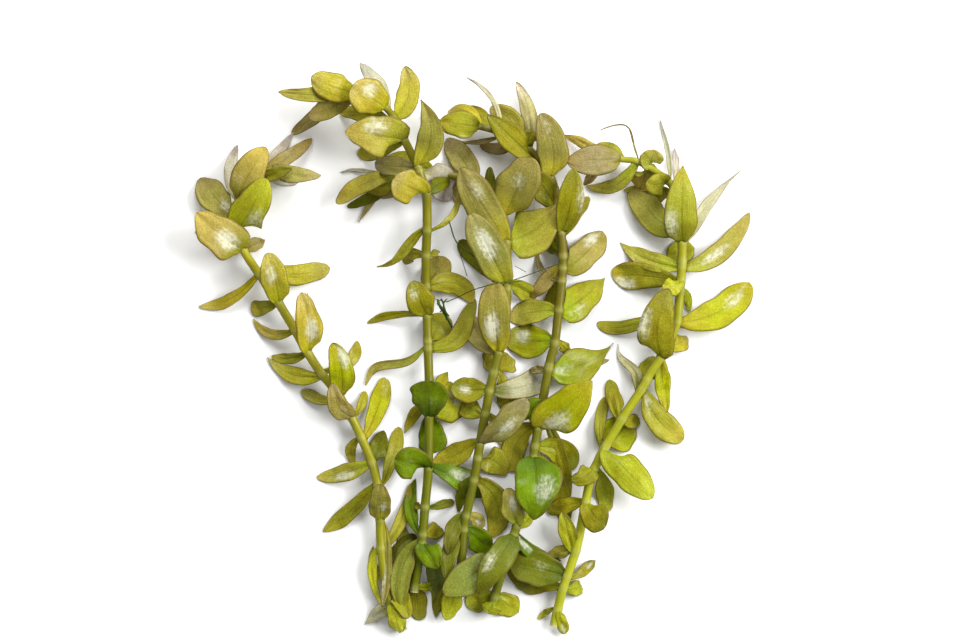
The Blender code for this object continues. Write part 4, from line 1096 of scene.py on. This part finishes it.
class BacopaStudioSettings(bpy.types.PropertyGroup):
    """The pale floor, the soft lights and the camera."""

    floor_size: FloatProperty(
        name="Floor size", description="Side of the square floor", default=6.0, unit="LENGTH")
    floor_color: FloatVectorProperty(
        name="Floor colour", description="Colour of the floor", default=(0.93, 0.93, 0.925), subtype="COLOR")
    side_energy: FloatProperty(
        name="Side light", description="Power of the soft light on the right, in watts", default=20.0)
    top_energy: FloatProperty(
        name="Top light", description="Power of the soft light beyond the tips, in watts", default=13.0)
    sky: FloatProperty(
        name="Surrounding light", description="Strength of the even light all round", default=0.40)
    lens: FloatProperty(name="Lens", description="Focal length of the camera in mm", default=100.0)


def tube_of(stem, tones, settings):
    """A stem as a strip of faces rolled up along its axis, with its ends closed."""
    fractions, axis = zip(*axis_of(stem))
    total = sum((b - a).length for a, b in zip(axis, axis[1:]))
    rings = round(total / settings.ring_gap)
    deselect()
    bpy.ops.mesh.primitive_grid_add(
        x_subdivisions=settings.sides, y_subdivisions=rings, size=2, calc_uvs=True)
    obj = bpy.context.object
    joints = [node_on(stem, spot)[0] for spot, _ in stem["pairs"] + stem["fused"]]
    tone_layer = obj.data.attributes.new("tone", "FLOAT_COLOR", "POINT")
    frames = {}
    for index, vertex in enumerate(obj.data.vertices):
        angle, y = math.pi * vertex.co.x, (vertex.co.y + 1) / 2
        if y not in frames:
            frames[y] = ring_of(axis, fractions, y, joints, total, tones, settings)
        centre, side, over, radius, tone = frames[y]
        vertex.co = centre + (side * math.sin(angle) + over * math.cos(angle)) * radius
        tone_layer.data[index].color = [*tone, 1]
    close_up(obj, 0.02 * MM, with_ends=True)
    bpy.ops.object.shade_smooth_by_angle(angle=math.radians(50))
    return obj


def ring_of(axis, fractions, y, joints, total, tones, settings):
    """The stem's centre, two directions across it, its radius and its tone at fraction y of its length."""
    index = max(i for i, f in enumerate(fractions[:-1]) if f <= y + 1e-9)
    x = (y - fractions[index]) / (fractions[index + 1] - fractions[index])
    before, start = axis[max(index - 1, 0)], axis[index]
    end, after = axis[index + 1], axis[min(index + 2, len(axis) - 1)]
    lead, trail = (end - before) / 2, (after - start) / 2
    square, cube = x * x, x * x * x
    centre = (start * (2 * cube - 3 * square + 1) + lead * (cube - 2 * square + x)
              + end * (3 * square - 2 * cube) + trail * (cube - square))
    run = (start * (6 * square - 6 * x) + lead * (3 * square - 4 * x + 1)
           + end * (6 * x - 6 * square) + trail * (3 * square - 2 * x)).normalized()
    side = run.cross(UP).normalized()
    over = side.cross(run)
    ring = max(math.exp(-((y - joint) * total / RING_WIDTH) ** 2) for joint in joints)
    radius = radius_at(y) * (1 + settings.swelling * ring)
    color = mixed(*tones, smooth(y * 1.3))
    color = mixed(color, settings.ring_color, 0.5 * ring)
    color = mixed(color, settings.cut_color, math.exp(-(y * total / CUT_LENGTH) ** 2))
    return centre, side, over, radius, color


class BACOPA_OT_studio(bpy.types.Operator):
    """Lay the pale floor, hang the soft lights and set up the camera over the bunch"""

    bl_idname = "bacopa.studio"
    bl_label = "Studio"

    def execute(self, context):
        settings = context.scene.bacopa_studio
        deselect()
        bpy.ops.mesh.primitive_plane_add(size=settings.floor_size, location=(0, 0, -0.05 * MM))
        floor = context.object
        floor.name = "floor"
        floor.data.materials.append(even_finish("pale floor", settings.floor_color, 0.6, 0.2))
        self.soft_light("side light", (0.9, 0.25, 0.75), settings.side_energy)
        self.soft_light("top light", (0.0, 0.95, 0.75), settings.top_energy)
        world = bpy.data.worlds.new("even light")
        world.use_nodes = True
        sky = world.node_tree.nodes["Background"]
        sky.inputs["Color"].default_value = (1, 1, 1, 1)
        sky.inputs["Strength"].default_value = settings.sky
        context.scene.world = world
        context.scene.view_settings.view_transform = "Standard"
        bpy.ops.object.camera_add(location=(*EYE_OVER, EYE_HEIGHT), rotation=(0, 0, 0))
        camera = context.object
        camera.name = "camera"
        camera.data.lens = settings.lens
        camera.data.sensor_width = 36
        camera.data.clip_start = 0.01
        context.scene.camera = camera
        return {"FINISHED"}

    @staticmethod
    def soft_light(name, location, energy):
        bpy.ops.object.light_add(type="AREA", location=location)
        light = bpy.context.object
        light.name = name
        light.data.shape = "SQUARE"
        light.data.size = 0.7
        light.data.energy = energy
        light.rotation_euler = (-Vector(location)).to_track_quat("-Z", "Y").to_euler()


class BACOPA_OT_stems(bpy.types.Operator):
    """Model the five stems, with a swelling and a pale ring where leaves grow"""

    bl_idname = "bacopa.stems"
    bl_label = "Stems"

    def execute(self, context):
        settings = context.scene.bacopa_stems
        material = plant_finish("stem skin", stem_tissue(), {"Ridges": 0.5}, 0.12 * MM, 0.15)
        for number, (stem, tones) in enumerate(zip(STEMS, STEM_TONES), 1):
            obj = tube_of(stem, tones, settings)
            obj.name = obj.data.name = f"stem_skin_{number}"
            obj.data.materials.append(material)
            keep_piece(obj, "stem", f"stem_{number}")
        return {"FINISHED"}


class BACOPA_OT_leaves(bpy.types.Operator):
    """Shape the pairs of leaves along the stems, and the crowded leaves that are grown to each stem"""

    bl_idname = "bacopa.leaves"
    bl_label = "Leaves"

    def execute(self, context):
        settings = context.scene.bacopa_leaves
        tissue = leaf_tissue()
        looks = {"yellow_green_leaf": (0.45, 0.5), "olive_leaf": (0.7, 0.45), "deep_green_leaf": (0.5, 0.6)}
        margin = (*settings.margin, 1)
        finishes = {}
        for slot, (mottle, veins) in looks.items():
            values = {"Margin": margin, "Mottle": mottle, "Veins": veins}
            name = slot.replace("_", " ")
            finishes[slot] = plant_finish(name, tissue, values, 0.16 * MM, settings.see_through)
        blank = leaf_blank(settings.across, settings.along)
        pale = []
        for number, stem in enumerate(STEMS, 1):
            blades = blades_of(blank, number, f"stem_{number}", stem["fused"], settings, pale)
            obj = joined(f"crowded_leaves_{number}", blades)
            finish_leaves(obj, settings, finishes["yellow_green_leaf"])
            keep_piece(obj, "yellow_green_leaf")
            for count, entry in enumerate(stem["pairs"], 1):
                node_name = f"leaf_pair_{number}_{count:02d}"
                blades = blades_of(blank, number, node_name, [entry], settings, pale)
                obj = joined(f"leaves_{number}_{count:02d}", blades)
                slot = slot_of(node_name)
                finish_leaves(obj, settings, finishes[slot])
                keep_piece(obj, slot, node_name)
        obj = joined("pale_leaves", pale)
        values = {"Margin": (*settings.pale_margin, 1), "Mottle": 0.3, "Veins": 0.5}
        finish_leaves(obj, settings, pale_finish("pale leaf", tissue, values))
        keep_piece(obj, "yellow_green_leaf")
        bpy.data.objects.remove(blank)
        return {"FINISHED"}


class BACOPA_OT_threads(bpy.types.Operator):
    """Lay the thin dark threads of algae between the stems"""

    bl_idname = "bacopa.threads"
    bl_label = "Threads of algae"

    def execute(self, context):
        settings = context.scene.bacopa_stems
        threads = []
        for radius, points in THREADS:
            curve = bpy.data.curves.new("thread", "CURVE")
            curve.dimensions = "3D"
            curve.bevel_depth = radius * MM
            curve.bevel_resolution = 1
            curve.use_fill_caps = True
            spline = curve.splines.new("NURBS")
            spline.points.add(len(points) - 1)
            spline.use_endpoint_u = True
            spline.order_u = 4
            for point, (u, v, z) in zip(spline.points, points):
                point.co = (*place((u, v), z * MM), 1)
            obj = bpy.data.objects.new("thread", curve)
            context.scene.collection.objects.link(obj)
            choose(obj)
            bpy.ops.object.convert(target="MESH")
            threads.append(context.object)
        obj = joined("algae_threads", threads)
        close_up(obj, 0.005 * MM)
        obj.data.materials.clear()
        obj.data.materials.append(even_finish("algae", settings.thread_color, 0.6, 0.15))
        keep_piece(obj, "deep_green_leaf")
        return {"FINISHED"}


class BACOPA_PT_panel(bpy.types.Panel):
    """The bunch's operators and settings"""

    bl_idname = "BACOPA_PT_panel"
    bl_label = "Lemon bacopa"
    bl_space_type = "VIEW_3D"
    bl_region_type = "UI"
    bl_category = "Bacopa"

    def draw(self, context):
        scene = context.scene
        groups = ((scene.bacopa_studio, (BACOPA_OT_studio,)),
                  (scene.bacopa_stems, (BACOPA_OT_stems, BACOPA_OT_threads)),
                  (scene.bacopa_leaves, (BACOPA_OT_leaves,)))
        for settings, operators in groups:
            box = self.layout.box()
            for name in settings.__annotations__:
                box.prop(settings, name)
            for operator in operators:
                box.operator(operator.bl_idname)


CLASSES = (
    BacopaLeafSettings, BacopaStemSettings, BacopaStudioSettings,
    BACOPA_OT_studio, BACOPA_OT_stems, BACOPA_OT_leaves, BACOPA_OT_threads, BACOPA_PT_panel,
)


def register():
    for cls in CLASSES:
        bpy.utils.register_class(cls)
    bpy.types.Scene.bacopa_leaves = PointerProperty(type=BacopaLeafSettings)
    bpy.types.Scene.bacopa_stems = PointerProperty(type=BacopaStemSettings)
    bpy.types.Scene.bacopa_studio = PointerProperty(type=BacopaStudioSettings)


def unregister():
    del bpy.types.Scene.bacopa_studio
    del bpy.types.Scene.bacopa_stems
    del bpy.types.Scene.bacopa_leaves
    for cls in reversed(CLASSES):
        bpy.utils.unregister_class(cls)


def main():
    register()
    bpy.ops.bacopa.studio()
    bpy.ops.bacopa.stems()
    bpy.ops.bacopa.leaves()
    bpy.ops.bacopa.threads()


if __name__ == "__main__":
    main()
